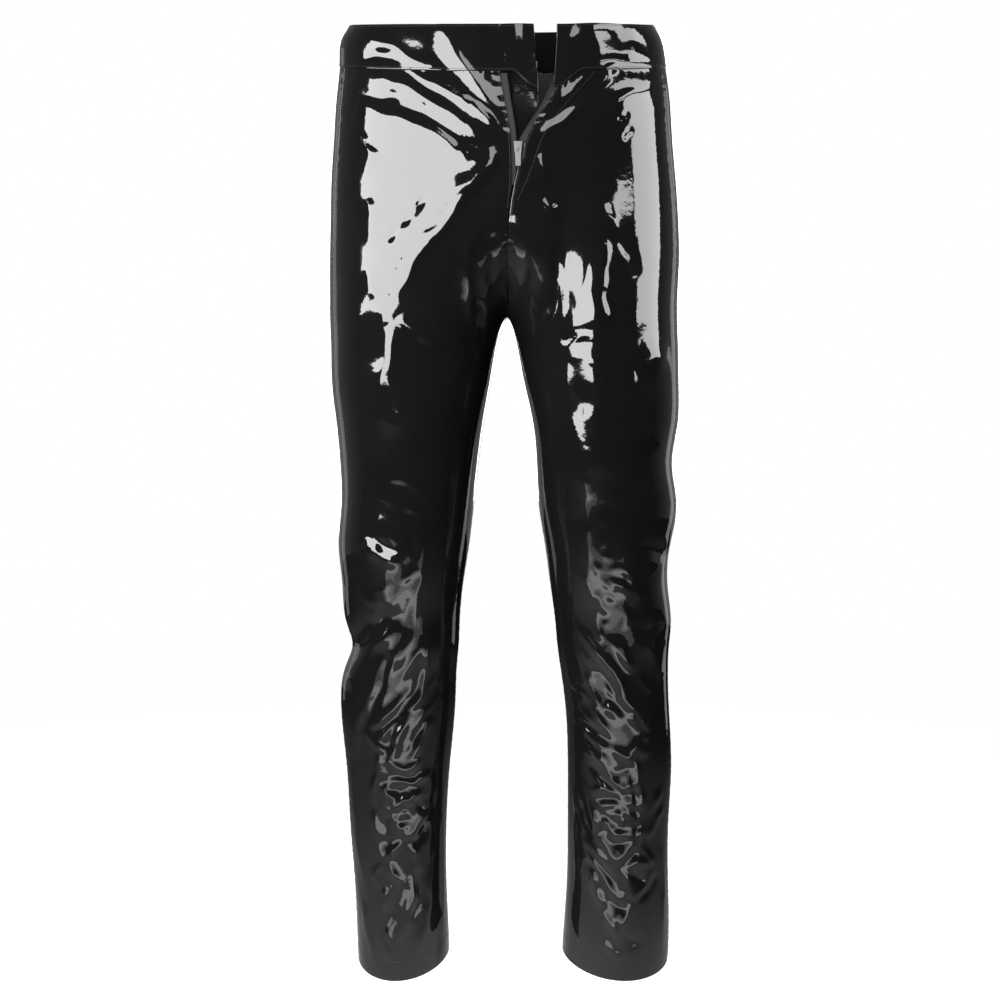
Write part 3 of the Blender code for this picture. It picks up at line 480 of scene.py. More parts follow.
# %% How far the creases lift the cloth
DRIFT = 1.6
DRIFT_WAVES = ((73, 0.7, (0.2, 0.3, 1.0)), (61, 2.1, (1.0, 0.2, -0.3)), (67, 1.3, (0.9, -0.4, 0.5)))
UNEVEN, UNEVEN_TURNS = 0.25, 9  # how much and how fast a crest swells and sinks along its length
CREST_ROUNDING = 0.15          # keeps a crisp crest from being a knife edge
CREASE_REACH = 2.6             # a crease is felt this many widths away


def drift(points):
    """A smooth wander of a few mm, so that no crease runs quite true."""
    moved = points.copy()
    for axis, (length, turn, way) in enumerate(DRIFT_WAVES):
        wave = points @ np.array(way) * 2 * np.pi / length + turn
        moved[:, axis] += DRIFT * (np.sin(wave) + 0.5 * np.sin(2.3 * wave + turn))
    return moved


def crease_height(side, points):
    """How far the creases lift each point, in mm."""
    flat = drift(points.reshape(-1, 3))
    lift = np.zeros(len(flat))
    for line, width, height, crisp, lean in CREASE_LINES[side]:
        reach = width * (1 + abs(lean)) * CREASE_REACH
        near = np.all((flat > line.min(0) - reach) & (flat < line.max(0) + reach), axis=1).nonzero()[0]
        if not len(near):
            continue
        starts, runs = line[:-1], np.diff(line, axis=0)
        gaps = flat[near][:, None, :] - starts[None]
        along = np.clip((gaps * runs).sum(-1) / (runs * runs).sum(-1), 0, 1)
        distance = np.linalg.norm(gaps - along[..., None] * runs, axis=-1)
        nearest = distance.argmin(axis=1)
        row = np.arange(len(near))
        place = (nearest + along[row, nearest]) / (len(line) - 1)
        run, gap = runs[nearest], gaps[row, nearest]
        broad_side = np.sign(run[:, 0] * gap[:, 2] - run[:, 2] * gap[:, 0]) * side
        across = distance[row, nearest] / (width * (1 + lean * broad_side))
        across = np.sqrt(across**2 + CREST_ROUNDING**2) - CREST_ROUNDING
        swell = 1 + UNEVEN * np.sin(UNEVEN_TURNS * place + line[0, 2])
        ends = np.sin(np.pi * np.clip(place, 0, 1)) ** 0.75
        lift[near] += height * swell * ends * np.exp(-across**crisp)
    by_fly = (flat[:, 1] < 0) * ease(FLY_BOTTOM - FLY_CALM_FADE, FLY_BOTTOM, flat[:, 2])
    calm = 1 - FLY_CALM * by_fly * ease(*FLY_CALM_WIDTH, np.abs(flat[:, 0]))
    return (lift * calm).reshape(points.shape[:-1])


# %% [markdown]
# ## Cloth as a shell
# A cloth piece is a sheet with a thickness. Each shell below is one grid of
# points and a second one inside it, closed round the rim. The grid follows
# the cloth: its columns are evenly spaced along each row, with a few narrow
# ones at the edges, so that every edge can roll under as a turned and pressed
# seam does. A little pucker beside each seam comes from the thread's pull.

# %% Shells
SHELL_WALL = 0.9
ROLL = 0.45                                    # radius of a turned edge
EDGE_LADDER = (0.0, 0.06, 0.2, 0.45, 0.9, 1.7)  # narrow columns at an edge, mm
PUCKER_HEIGHT, PUCKER_REACH = 0.32, 6.0
PUCKER_WAVES = ((1.0, 11.0, 1.9, 47.0), (0.5, 6.1, 1.3, 31.0))     # share, pitch, wander, pitch of the wander
COLUMN_STEPS = 160                             # steps that measure a row before its columns are spaced


def border_distances(points):
    """Distance of each grid point from the four borders: first and last column, first and last row."""
    across = np.linalg.norm(np.diff(points, axis=1), axis=-1)
    down = np.linalg.norm(np.diff(points, axis=0), axis=-1)
    left = np.pad(np.cumsum(across, axis=1), ((0, 0), (1, 0)))
    top = np.pad(np.cumsum(down, axis=0), ((1, 0), (0, 0)))
    return left, left[:, -1:] - left, top, top[-1:] - top


def roll_under(distance):
    """How far a turned edge drops at a distance from it."""
    inside = np.clip(distance / ROLL, 0, 1)
    return -ROLL * (1 - np.sqrt(1 - (1 - inside) ** 2))


def pucker(distance, run):
    """Small uneven waves beside a seam; run is the distance along the seam."""
    turns = 2 * np.pi * run
    waves = sum(share * np.sin(turns / pitch + wander * np.sin(turns / wander_pitch))
                for share, pitch, wander, wander_pitch in PUCKER_WAVES)
    return PUCKER_HEIGHT * np.exp(-(distance / PUCKER_REACH) ** 2) * (waves * 0.6 - 0.7)


def grid_outward(points, guide):
    """Outward direction from the grid itself, on the same side as the guide."""
    normal = unit(np.cross(np.gradient(points, axis=1), np.gradient(points, axis=0)))
    return normal * np.sign((normal * guide).sum(-1, keepdims=True))


def new_object(name, data):
    """An object in the scene for a mesh, a lamp or a camera."""
    made = bpy.data.objects.new(name, data)
    bpy.context.scene.collection.objects.link(made)
    return made


def shell_object(name, outer, inner, slots):
    """A closed shell from two grids of points in mm; slots are (outside, inside) materials."""
    rows, columns, _ = outer.shape
    count = rows * columns
    index = np.arange(count).reshape(rows, columns)
    quads = np.stack([index[:-1, :-1], index[:-1, 1:], index[1:, 1:], index[1:, :-1]], -1).reshape(-1, 4)
    rim = np.concatenate([index[0, :-1], index[:-1, -1], index[-1, :0:-1], index[:0:-1, 0]])
    after = np.roll(rim, -1)
    sides = np.stack([after, rim, rim + count, after + count], -1)
    faces = np.concatenate([quads, quads[:, ::-1] + count, sides])
    points = np.concatenate([outer.reshape(-1, 3), inner.reshape(-1, 3)]) * MM
    mesh = bpy.data.meshes.new(name)
    mesh.vertices.add(len(points))
    mesh.vertices.foreach_set("co", points.ravel())
    mesh.loops.add(faces.size)
    mesh.loops.foreach_set("vertex_index", faces.ravel())
    mesh.polygons.add(len(faces))
    mesh.polygons.foreach_set("loop_start", np.arange(0, faces.size, 4))
    mesh.polygons.foreach_set("loop_total", np.full(len(faces), 4))
    lining = np.zeros(len(faces), dtype=np.int32)
    lining[len(quads):] = 1
    for slot_material in slots:
        mesh.materials.append(slot_material)
    mesh.polygons.foreach_set("material_index", lining)
    mesh.update(calc_edges=True)
    mesh.validate()
    signed = bmesh.new()
    signed.from_mesh(mesh)
    if signed.calc_volume(signed=True) < 0:
        bmesh.ops.reverse_faces(signed, faces=signed.faces)
        signed.to_mesh(mesh)
    signed.free()
    mesh.shade_smooth()
    return new_object(name, mesh)


def even_columns(side, inner_angle, outer_angle, levels, height, count):
    """Angles of a grid whose columns are evenly spaced on the surface, with the edge ladder at both ends."""
    share = np.linspace(0, 1, COLUMN_STEPS)[None]
    angles = inner_angle[:, None] * (1 - share) + outer_angle[:, None] * share
    run = border_distances(form(side, angles, height(angles, levels[:, None])))[0]
    ladder = np.array(EDGE_LADDER)
    made = []
    for row in range(len(levels)):
        total = run[row, -1]
        inside = np.linspace(ladder[-1], total - ladder[-1], count)[1:-1]
        stops = np.concatenate([ladder, inside, total - ladder[::-1]])
        made.append(np.interp(stops, run[row], angles[row]))
    return np.array(made)


def laddered(first, last, count):
    """Levels from first to last with the edge ladder at both ends."""
    way = np.sign(last - first)
    ladder = np.array(EDGE_LADDER) * way
    inside = np.linspace(first + ladder[-1], last - ladder[-1], count)[1:-1]
    return np.concatenate([first + ladder, inside, last - ladder[::-1]])


# %% [markdown]
# ## The four panels
# Each leg has a front and a back panel, sewn at the side seam and the inseam,
# and the two halves meet in the crotch seam. Rows are packed closer where the
# crotch curve runs nearly level. At the hem the cloth is turned up inside.

# %% Panel grids
PANEL_ROWS, PANEL_COLUMNS, LEVEL_STEPS = 380, 90, 4000
HEM_WALL, HEM_TURN = 2.2, 24.0
CENTRE_REACH, CENTRE_BLEND = (3.0, 0.6), 5.0   # edges this near the middle plane are drawn onto it


def panel_edges(side, face, levels):
    """Angles of a panel's inner edge and of its side seam, for each level."""
    centre, half, _, _ = section_sizes(side, levels)
    edge_x = np.full(levels.shape, side * SEAM_GAP / 2)
    if face == "front":
        edge_x = np.where(levels > FLY_BOTTOM, FLY_EDGE[SIDE_NAME[side]](levels), edge_x)
    depth = SECTION[face](levels)
    turn = np.arccos(np.clip((edge_x * side - centre) / half, -1, 1))
    turn = np.minimum(turn, math.pi - SEAM_GAP / 2 / depth)
    down = (WAIST_LEVEL - levels) / (WAIST_LEVEL - HEM_LEVEL)
    seam = np.radians(SIDE_SEAM_WAIST + (SIDE_SEAM_HEM - SIDE_SEAM_WAIST) * down)
    if face == "front":
        return -turn, seam - SEAM_GAP / 2 / depth
    return turn, seam + SEAM_GAP / 2 / depth


def panel_levels(side, face):
    """Levels of a panel's rows, evenly spaced along its inner edge."""
    fine = np.linspace(WAIST_LEVEL - EDGE_LADDER[-1], HEM_LEVEL + EDGE_LADDER[-1], LEVEL_STEPS)
    edge, _ = panel_edges(side, face, fine)
    step = np.abs(np.diff(form(side, edge, fine)[:, 1])) * 0.6 + np.abs(np.diff(fine))
    run = np.concatenate([[0], np.cumsum(step)])
    inside = np.interp(np.linspace(0, run[-1], PANEL_ROWS), run, fine)
    ladder = np.array(EDGE_LADDER)
    return np.concatenate([WAIST_LEVEL - ladder[:-1], inside, HEM_LEVEL + ladder[-2::-1]])


def meet_at_centre(points, base, side, face, distance):
    """Draw the inner edge onto the centre plane, wherever the two halves are sewn together."""
    sewn = ease(*CENTRE_REACH, np.abs(base[:, 0, 0]))
    if face == "front":
        sewn = sewn * ease(FLY_BOTTOM, FLY_BOTTOM - CENTRE_BLEND, base[:, 0, 2])
    lack = (side * SEAM_GAP / 2 - points[:, 0, 0]) * sewn
    moved = points.copy()
    moved[..., 0] += lack[:, None] * np.exp(-distance / CENTRE_BLEND)
    return moved


def make_panel(side, face, slots):
    """One panel: its object, and its outer grid and distances from its borders for the sewing."""
    levels = panel_levels(side, face)
    inner_angle, seam_angle = panel_edges(side, face, levels)
    angles = even_columns(side, inner_angle, seam_angle, levels, lambda a, z: height_at(side, a, z),
                          PANEL_COLUMNS)
    z = height_at(side, angles, levels[:, None])
    base = form(side, angles, z)
    outward = form_outward(side, angles, z)
    first, last, top, bottom = border_distances(base)
    lift = crease_height(side, base)
    lift += pucker(first, top) + pucker(last, top + 20) + 0.45 * pucker(top, last)
    lift += 0.5 * pucker(np.abs(bottom - HEM_TURN), last)
    folded = base + outward * lift[..., None]
    normal = grid_outward(folded, outward)
    edge = np.minimum(np.minimum(first, last), np.minimum(top, bottom))
    wall = SHELL_WALL + (HEM_WALL - SHELL_WALL) * ease(HEM_TURN + 1, HEM_TURN - 1, bottom)
    outer = meet_at_centre(folded + normal * roll_under(edge)[..., None], base, side, face, first)
    inner = meet_at_centre(folded - normal * wall[..., None], base, side, face, first)
    made = shell_object(f"{face}_panel_{SIDE_NAME[side]}", outer, inner, slots)
    return {"object": made, "outer": outer, "first": first, "last": last, "top": top, "bottom": bottom}


# %% [markdown]
# ## Materials
# One helper adds a shader node with its settings and links, and colours are
# sRGB hex values turned to linear once.

# %% Helpers for materials
BAND_PERIOD = 2 * math.pi / (10 * math.sqrt(3))        # a diagonal wave's own pitch at scale 1


def linear(hex_colour):
    """An sRGB hex colour as linear RGBA."""
    parts = [int(hex_colour[i:i + 2], 16) / 255 for i in (1, 3, 5)]
    return (*[c / 12.92 if c <= 0.04045 else ((c + 0.055) / 1.055) ** 2.4 for c in parts], 1.0)


def add_node(tree, kind, inputs=None, **settings):
    """Add a node; inputs maps a socket's name or number to a value or to another node's output."""
    made = tree.nodes.new(kind)
    for name, value in settings.items():
        setattr(made, name, value)
    for key, value in (inputs or {}).items():
        socket = made.inputs[key]
        if isinstance(value, bpy.types.NodeSocket):
            tree.links.new(value, socket)
        else:
            socket.default_value = value
    return made


def new_material(name):
    """A material with a fresh tree: the tree, its shader, and Object coordinates."""
    made = bpy.data.materials.new(name)
    made.use_nodes = True
    tree = made.node_tree
    shader = tree.nodes["Principled BSDF"]
    place = add_node(tree, "ShaderNodeTexCoord").outputs["Object"]
    return made, tree, shader, place


def noise(tree, place, size, detail, **more):
    """A cloudy pattern; size in mm."""
    inputs = {"Vector": place, "Scale": 1 / (size * MM), "Detail": detail, **more}
    return add_node(tree, "ShaderNodeTexNoise", inputs).outputs["Fac"]


def diagonal_bands(tree, place, pitch, **more):
    """Soft bands that lean across; pitch in mm from one to the next."""
    inputs = {"Vector": place, "Scale": BAND_PERIOD / (pitch * MM), **more}
    return add_node(tree, "ShaderNodeTexWave", inputs, wave_type="BANDS",
                    bands_direction="DIAGONAL").outputs["Fac"]


def blend_colour(tree, shader, share, dark_colour, light_colour):
    """Colour a shader between two hex colours, by a pattern."""
    tint = add_node(tree, "ShaderNodeMix", {0: share, 6: linear(dark_colour), 7: linear(light_colour)},
                    data_type="RGBA")
    tree.links.new(tint.outputs[2], shader.inputs["Base Color"])


def spread_roughness(tree, shader, share, low, high, share_low=0.0, share_high=1.0):
    """Make a shader's roughness follow a pattern, from low to high."""
    inputs = {"Value": share, "From Min": share_low, "From Max": share_high, "To Min": low, "To Max": high}
    rough = add_node(tree, "ShaderNodeMapRange", inputs)
    tree.links.new(rough.outputs["Result"], shader.inputs["Roughness"])


def bumped(tree, height, strength, distance, **more):
    """The normals of a surface raised by a pattern; distance in mm."""
    inputs = {"Height": height, "Strength": strength, "Distance": distance * MM, **more}
    return add_node(tree, "ShaderNodeBump", inputs).outputs["Normal"]


# %% [markdown]
# ### Calendered PVC film
# The outside is soft PVC film, pressed between polished rollers onto a knit.
# It is near black with a wet gloss: IOR 1.53 and very little roughness. The
# rollers and the knit below leave a faint orange peel, which only shows as a
# slight wobble at the edges of reflections, and handling leaves thin smears.

# %% PVC
def make_pvc(name):
    made, tree, shader, place = new_material(name)
    smear = noise(tree, place, 45.5, 5.0, Roughness=0.6)
    spread_roughness(tree, shader, smear, 0.035, 0.075, 0.35, 0.75)
    blend_colour(tree, shader, smear, "#0b0b0c", "#111112")
    peel = bumped(tree, noise(tree, place, 9.0, 2.0), 0.25, 0.4)
    grain = bumped(tree, noise(tree, place, 2.2, 1.0), 0.10, 0.06, Normal=peel)
    tree.links.new(grain, shader.inputs["Normal"])
    shader.inputs["IOR"].default_value = 1.53
    return made


# %% [markdown]
# ### Knit backing
# The wrong side of the cloth is a fine polyester knit: matte, dark, with rows
# of loops. Real loops are about 0.6 mm apart; their ridges are drawn 2.7 mm
# apart, which reads as knit from where the inside can be seen.

# %% Knit
def make_knit(name):
    made, tree, shader, place = new_material(name)
    wales = diagonal_bands(tree, place, 2.734, Distortion=1.0, Detail=1.0)
    fuzz = noise(tree, place, 1.11, 2.0)
    blend_colour(tree, shader, fuzz, "#131314", "#262628")
    tree.links.new(bumped(tree, wales, 0.5, 0.3), shader.inputs["Normal"])
    shader.inputs["Roughness"].default_value = 0.85
    shader.inputs["Sheen Weight"].default_value = 0.25
    return made


pvc_panels = make_pvc("calendered_pvc_panels")
pvc_band = make_pvc("calendered_pvc_band")
knit = make_knit("polyester_knit_backing")
CLOTH_SLOTS = (pvc_panels, knit)

# %% Make the panels
def fasten(piece, node=None):
    """Let a piece ride with the trousers, and hide the solid it stands for."""
    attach(piece, "trousers")
    if node:
        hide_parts(node)


panels = {}
for side in (RIGHT, LEFT):
    for face in ("front", "back"):
        panel = make_panel(side, face, CLOTH_SLOTS)
        panels[side, face] = panel
        fasten(panel["object"], f"{face}_{SIDE_NAME[side]}")
        print(panel["object"].name, len(panel["object"].data.polygons), "faces")

# %% [markdown]
# ## The waistband
# The band is cut double and topstitched. It shares the panels' angles, stands
# a little proud of them, and takes up the same tension lines, more softly
# because it has two layers. Its front ends are cut square; the right
# end runs on over the fly shield.

# %% Waistband
BAND_PROUD, BAND_WALL, BAND_SOFTNESS = 0.7, 2.4, 0.75
BAND_ROWS, BAND_COLUMNS = 20, 190
# Broad soft waves of the doubled band: side, X, Z, width and height of each.
BAND_WAVES = ((RIGHT, -12, 2, 12, 1.6), (LEFT, 92, 4, 20, 2.6), (LEFT, 132, 0, 9, 1.0))


def band_waves(side, points):
    """How far the band's broad waves lift each point."""
    lift = np.zeros(points.shape[:-1])
    for wave_side, x, z, width, height in BAND_WAVES:
        if wave_side == side:
            away = (points[..., 0] * side - x) / width, (points[..., 2] - z) / (width * 2.2)
            lift += height * np.exp(-away[0] ** 2 - away[1] ** 2) * (points[..., 1] < 0)
    return lift


def make_band(side):
    shares = laddered(0.0, BAND_HEIGHT, BAND_ROWS) / BAND_HEIGHT
    centre, half, _, _ = section_sizes(side, 0.0)
    end_x = BAND_END[side][1] + (BAND_END[side][0] - BAND_END[side][1]) * shares
    first_angle = -np.arccos(np.clip((end_x * side - centre) / half, -1, 1))
    last_angle = np.full(shares.shape, float(np.arccos((SEAM_GAP / 2 - centre) / half)))

    def height(angles, share):
        bottom = band_bottom(side, angles) + SEAM_GAP / 2
        return bottom + (band_top(angles) - bottom) * share

    angles = even_columns(side, first_angle, last_angle, shares, height, BAND_COLUMNS)
    z = height(angles, shares[:, None])
    base, outward = form(side, angles, z), form_outward(side, angles, z)
    first, last, bottom, top = border_distances(base)
    lift = BAND_PROUD + BAND_SOFTNESS * crease_height(side, base) + band_waves(side, base)
    lift += 0.3 * pucker(np.minimum(bottom, top), first)
    folded = base + outward * lift[..., None]
    normal = grid_outward(folded, outward)
    edge = np.minimum(np.minimum(first, last), np.minimum(top, bottom))
    made = shell_object(f"waistband_{SIDE_NAME[side]}_cloth", folded + normal * roll_under(edge)[..., None],
                        folded - normal * BAND_WALL, (pvc_band, pvc_band))
    return {"object": made, "outer": folded, "first": first, "last": last, "top": top, "bottom": bottom}


bands = {}
for side in (RIGHT, LEFT):
    bands[side] = make_band(side)
    fasten(bands[side]["object"], f"waistband_{SIDE_NAME[side]}")

# %% [markdown]
# ## Behind the fly
# The shield is a doubled flap sewn to the right front; it lies behind the zip
# and its free edge shows in the open V. The zip's tapes are woven polyester,
# with a corded edge that carries the teeth.

# %% Strips behind the fly
SHIELD_TOP, SHIELD_END, SHIELD_SEWN_X = -30.0, -168.0, -9.0
SHIELD_SEAM_DEPTH, SHIELD_FREE_DEPTH, SHIELD_WALL = 3.2, 5.0, 1.6
TAPE_TOP, TAPE_END, TAPE_DEPTH, TAPE_WALL, TAPE_WIDTH = -44.0, -162.0, 1.9, 1.0, 12.0
STRIP_EDGE = np.array((0.0, 0.01, 0.03))       # narrow columns at a strip's edges, as shares of its width
SHIELD_BEND = (-2.0, 6.0)                      # X where the shield dips back behind the zip
RIPPLE_LENGTH, RIPPLE_WANDER, RIPPLE_WANDER_LENGTH, RIPPLE_DROP = 9.0, 1.5, 23.0, 0.3


def front_at(x, z, depth):
    """Points below the front's smooth skin at x and z, and the outward direction there."""
    x, z, depth = np.broadcast_arrays(np.asarray(x, float), np.asarray(z, float), np.asarray(depth, float))
    points, outward = np.zeros(x.shape + (3,)), np.zeros(x.shape + (3,))
    for side in (RIGHT, LEFT):
        mine = (x * side > 0) | ((x == 0) & (side == LEFT))
        angles = angle_at(side, np.abs(x), z, "front")
        normal = form_outward(side, angles, z)
        points[mine] = (form(side, angles, z) - normal * depth[..., None])[mine]
        outward[mine] = normal[mine]
    return points, outward


def make_strip(name, levels, near_x, far_x, depth, wall, columns, slots, ripple=0.0):
    """A strip behind the fly between two lines given as X for each level."""
    share = np.concatenate([STRIP_EDGE, np.linspace(0.06, 0.94, columns), 1 - STRIP_EDGE[::-1]])[None]
    x = near_x(levels)[:, None] * (1 - share) + far_x(levels)[:, None] * share
    top, outward = front_at(x, levels[:, None] + 0 * x, depth(x))
    first, last, upper, lower = border_distances(top)
    edge = np.minimum(np.minimum(first, last), np.minimum(upper, lower))
    wave = np.sin(upper / RIPPLE_LENGTH + RIPPLE_WANDER * np.sin(upper / RIPPLE_WANDER_LENGTH))
    lift = ripple * (wave * np.exp(-last / RIPPLE_LENGTH) - RIPPLE_DROP)
    top = top + outward * lift[..., None]
    roll = np.maximum(roll_under(edge), -wall * 0.4)
    return shell_object(name, top + outward * roll[..., None], top - outward * wall, slots)


def shield_depth(x):
    return SHIELD_SEAM_DEPTH + (SHIELD_FREE_DEPTH - SHIELD_SEAM_DEPTH) * ease(*SHIELD_BEND, x)


shield = make_strip("fly_shield_cloth", laddered(SHIELD_TOP, SHIELD_END, 60), lambda z: 0 * z + SHIELD_SEWN_X,
                    SHIELD_FREE_EDGE, shield_depth, SHIELD_WALL, 24, (pvc_band, pvc_band), 0.35)
fasten(shield, "fly_shield")
print(shield.name, len(shield.data.polygons), "faces")

# %% [markdown]
# ### Woven tape
# Zip tape is a narrow polyester twill. Its ribs lean across the tape, drawn
# 1.8 mm apart, about twice as wide as real ones; it is matte beside the film.

# %% Tapes
def make_tape_weave(name):
    made, tree, shader, place = new_material(name)
    twill = diagonal_bands(tree, place, 1.823, Distortion=0.4)
    blend_colour(tree, shader, twill, "#070708", "#141416")
    tree.links.new(bumped(tree, twill, 0.6, 0.2), shader.inputs["Normal"])
    shader.inputs["Roughness"].default_value = 0.7
    return made


tape_weave = make_tape_weave("woven_polyester_tape")
for side in (RIGHT, LEFT):
    chain = ZIP_LINE[SIDE_NAME[side]]
    tape = make_strip(f"zip_tape_{SIDE_NAME[side]}_cloth", laddered(TAPE_TOP, TAPE_END, 70), chain,
                      lambda z, chain=chain, side=side: chain(z) + side * TAPE_WIDTH,
                      lambda x: np.full(x.shape, TAPE_DEPTH), TAPE_WALL, 10, (tape_weave, tape_weave))
    fasten(tape, f"zip_tape_{SIDE_NAME[side]}")

# %% [markdown]
# ## Sewing and zip teeth
# Both are small shapes repeated along a path, so one Geometry Nodes tree does
# both: it resamples a path to an even pitch, sets a copy of a small mesh at
# every point, turned along the path, makes the copies real and gives them
# their material. The result is taken as a plain mesh.

# %% Copies along a path
def path_mesh(name, lines):
    """A mesh of edges only, one chain for each line of points (mm)."""
    points = np.concatenate(lines) * MM
    edges, start = [], 0
    for line in lines:
        edges += [(start + i, start + i + 1) for i in range(len(line) - 1)]
        start += len(line)
    mesh = bpy.data.meshes.new(name)
    mesh.from_pydata(points.tolist(), edges, [])
    return new_object(name, mesh)


def build_path_tree():
    """Geometry Nodes: copies of a unit object at an even pitch along the input's edges."""
    tree = bpy.data.node_groups.new("copies_along_path", "GeometryNodeTree")
    face = tree.interface
    face.new_socket("Geometry", in_out="INPUT", socket_type="NodeSocketGeometry")
    for name, kind in (("Pitch", "NodeSocketFloat"), ("Unit", "NodeSocketObject"),
                       ("Facing", "NodeSocketVector"), ("Finish", "NodeSocketMaterial")):
        face.new_socket(name, in_out="INPUT", socket_type=kind)
    face.new_socket("Geometry", in_out="OUTPUT", socket_type="NodeSocketGeometry")
    start = add_node(tree, "NodeGroupInput")
    curve = add_node(tree, "GeometryNodeMeshToCurve", {"Mesh": start.outputs["Geometry"]})
    even = add_node(tree, "GeometryNodeResampleCurve", {"Curve": curve.outputs["Curve"],
                                                        "Length": start.outputs["Pitch"]}, mode="LENGTH")
    tangent = add_node(tree, "GeometryNodeInputTangent")
    lie = add_node(tree, "FunctionNodeAlignEulerToVector", {"Vector": tangent.outputs["Tangent"]}, axis="X")
    turn = add_node(tree, "FunctionNodeAlignEulerToVector", {"Rotation": lie.outputs["Rotation"],
                                                             "Vector": start.outputs["Facing"]},
                    axis="Z", pivot_axis="X")
    unit_shape = add_node(tree, "GeometryNodeObjectInfo", {"Object": start.outputs["Unit"]})
    copies = add_node(tree, "GeometryNodeInstanceOnPoints", {"Points": even.outputs["Curve"],
                                                             "Instance": unit_shape.outputs["Geometry"],
                                                             "Rotation": turn.outputs["Rotation"]})
    real = add_node(tree, "GeometryNodeRealizeInstances", {"Geometry": copies.outputs["Instances"]})
    finish = add_node(tree, "GeometryNodeSetMaterial", {"Geometry": real.outputs["Geometry"],
                                                        "Material": start.outputs["Finish"]})
    add_node(tree, "NodeGroupOutput", {"Geometry": finish.outputs["Geometry"]})
    return tree


PATH_TREE = build_path_tree()
PATH_INPUTS = {item.name: item.identifier for item in PATH_TREE.interface.items_tree
               if item.in_out == "INPUT"}


def copies_along(name, lines, unit_object, pitch, facing, finish):
    """One plain mesh of copies of a unit along lines (mm); pitch in mm."""
    holder = path_mesh(name + "_path", lines)
    step = holder.modifiers.new("copies", "NODES")
    step.node_group = PATH_TREE
    for label, value in (("Pitch", pitch * MM), ("Unit", unit_object), ("Facing", facing),
                         ("Finish", finish)):
        step[PATH_INPUTS[label]] = value
    graph = bpy.context.evaluated_depsgraph_get()
    mesh = bpy.data.meshes.new_from_object(holder.evaluated_get(graph), depsgraph=graph)
    mesh.name = name
    bpy.data.objects.remove(holder)
    mesh.shade_smooth()
    return new_object(name, mesh)


def unit_from(shape, name):
    """An object from a shape in mm, kept out of the scene's pieces."""
    bmesh.ops.scale(shape, vec=(MM, MM, MM), verts=shape.verts)
    mesh = bpy.data.meshes.new(name)
    shape.to_mesh(mesh)
    shape.free()
    return bpy.data.objects.new(name, mesh)


def lozenge(name, length, width, height):
    """A small rounded lozenge along X, for a stitch."""
    shape = bmesh.new()
    bmesh.ops.create_uvsphere(shape, u_segments=8, v_segments=5, radius=0.5)
    turn = Matrix.Rotation(math.radians(90), 4, "Y")
    bmesh.ops.transform(shape, matrix=Matrix.Diagonal((length, width, height, 1)) @ turn, verts=shape.verts)
    return unit_from(shape, name)


# %% [markdown]
# ### Thread
# Core-spun polyester thread, black, about 0.4 mm thick, in stitches 3 mm long.
# It is drawn 0.55 mm thick so that a row still reads a step away.

# %% Thread and stitch lines
def make_thread(name):
    made, tree, shader, place = new_material(name)
    twist = diagonal_bands(tree, place, 1.139)
    blend_colour(tree, shader, twist, "#0d0d0e", "#222224")
    shader.inputs["Roughness"].default_value = 0.45
    return made


thread = make_thread("corespun_thread")
STITCH_LENGTH, STITCH_PITCH, STITCH_WIDTH = 2.7, 3.3, 0.55
SEAM_BESIDE, BAND_TOP_BESIDE, HEM_BESIDE = 2.2, 2.4, HEM_TURN - 3      # mm from the edge to the stitches
WHOLE_SIDE, SEAT_RUN = (0.015, 0.985), (0.015, 0.30)                   # shares of an edge that are stitched
CROTCH_RUN = {RIGHT: (0.02, 0.17), LEFT: (0.02, 0.19)}
stitch = lozenge("stitch_unit", STITCH_LENGTH, STITCH_WIDTH, STITCH_WIDTH)


def line_beside(grid, border, distance, start=0.0, end=1.0):
    """Points at one distance from a grid's border, on its outer face, from share start to share end."""
    points, away = grid["outer"], grid[border]
    rows = border in ("first", "last")
    if not rows:
        points, away = points.swapaxes(0, 1), away.swapaxes(0, 1)
    made = []
    for line, run in zip(points, away):
        order = np.argsort(run)
        made.append([np.interp(distance, run[order], line[order, k]) for k in range(3)])
    count = len(made)
    return np.array(made)[int(start * count):max(int(end * count), 2)]


def sew(name, lines):
    """Rows of stitches on the cloth, riding with the trousers."""
    made = copies_along(name, lines, stitch, STITCH_PITCH, (0.0, 0.0, 1.0), thread)
    fasten(made)
    print(name, len(made.data.polygons), "faces")


for side in (RIGHT, LEFT):
    word = SIDE_NAME[side]
    sew(f"band_stitches_{word}", [line_beside(bands[side], "bottom", SEAM_BESIDE)[4:-4],
                                  line_beside(bands[side], "top", BAND_TOP_BESIDE)[4:-4]])
    front, back = panels[side, "front"], panels[side, "back"]
    sew(f"side_stitches_{word}", [line_beside(back, "last", SEAM_BESIDE, *WHOLE_SIDE)])
    sew(f"hem_stitches_{word}", [line_beside(front, "bottom", HEM_BESIDE)[2:-2],
                                 line_beside(back, "bottom", HEM_BESIDE)[2:-2]])
    sew(f"crotch_stitches_{word}", [line_beside(front, "first", SEAM_BESIDE, *CROTCH_RUN[side])])
    sew(f"seat_stitches_{word}", [line_beside(back, "first", SEAM_BESIDE, *SEAT_RUN)])

# %% [markdown]
# ### The fly's curved topstitch
# A row of stitches runs down the left front beside the fly and curves in to
# the bottom of the zip, which fastens the zip's hidden tape.

# %% Curved topstitch
FLY_STITCH_BLUR, FLY_STITCH_STEPS = 1.6, 90    # mm, and points along the row
FLY_STITCH = ((92, -42), (76, -60), (58, -80), (45, -98), (36, -114), (28, -136), (19, -160), (11, -177))


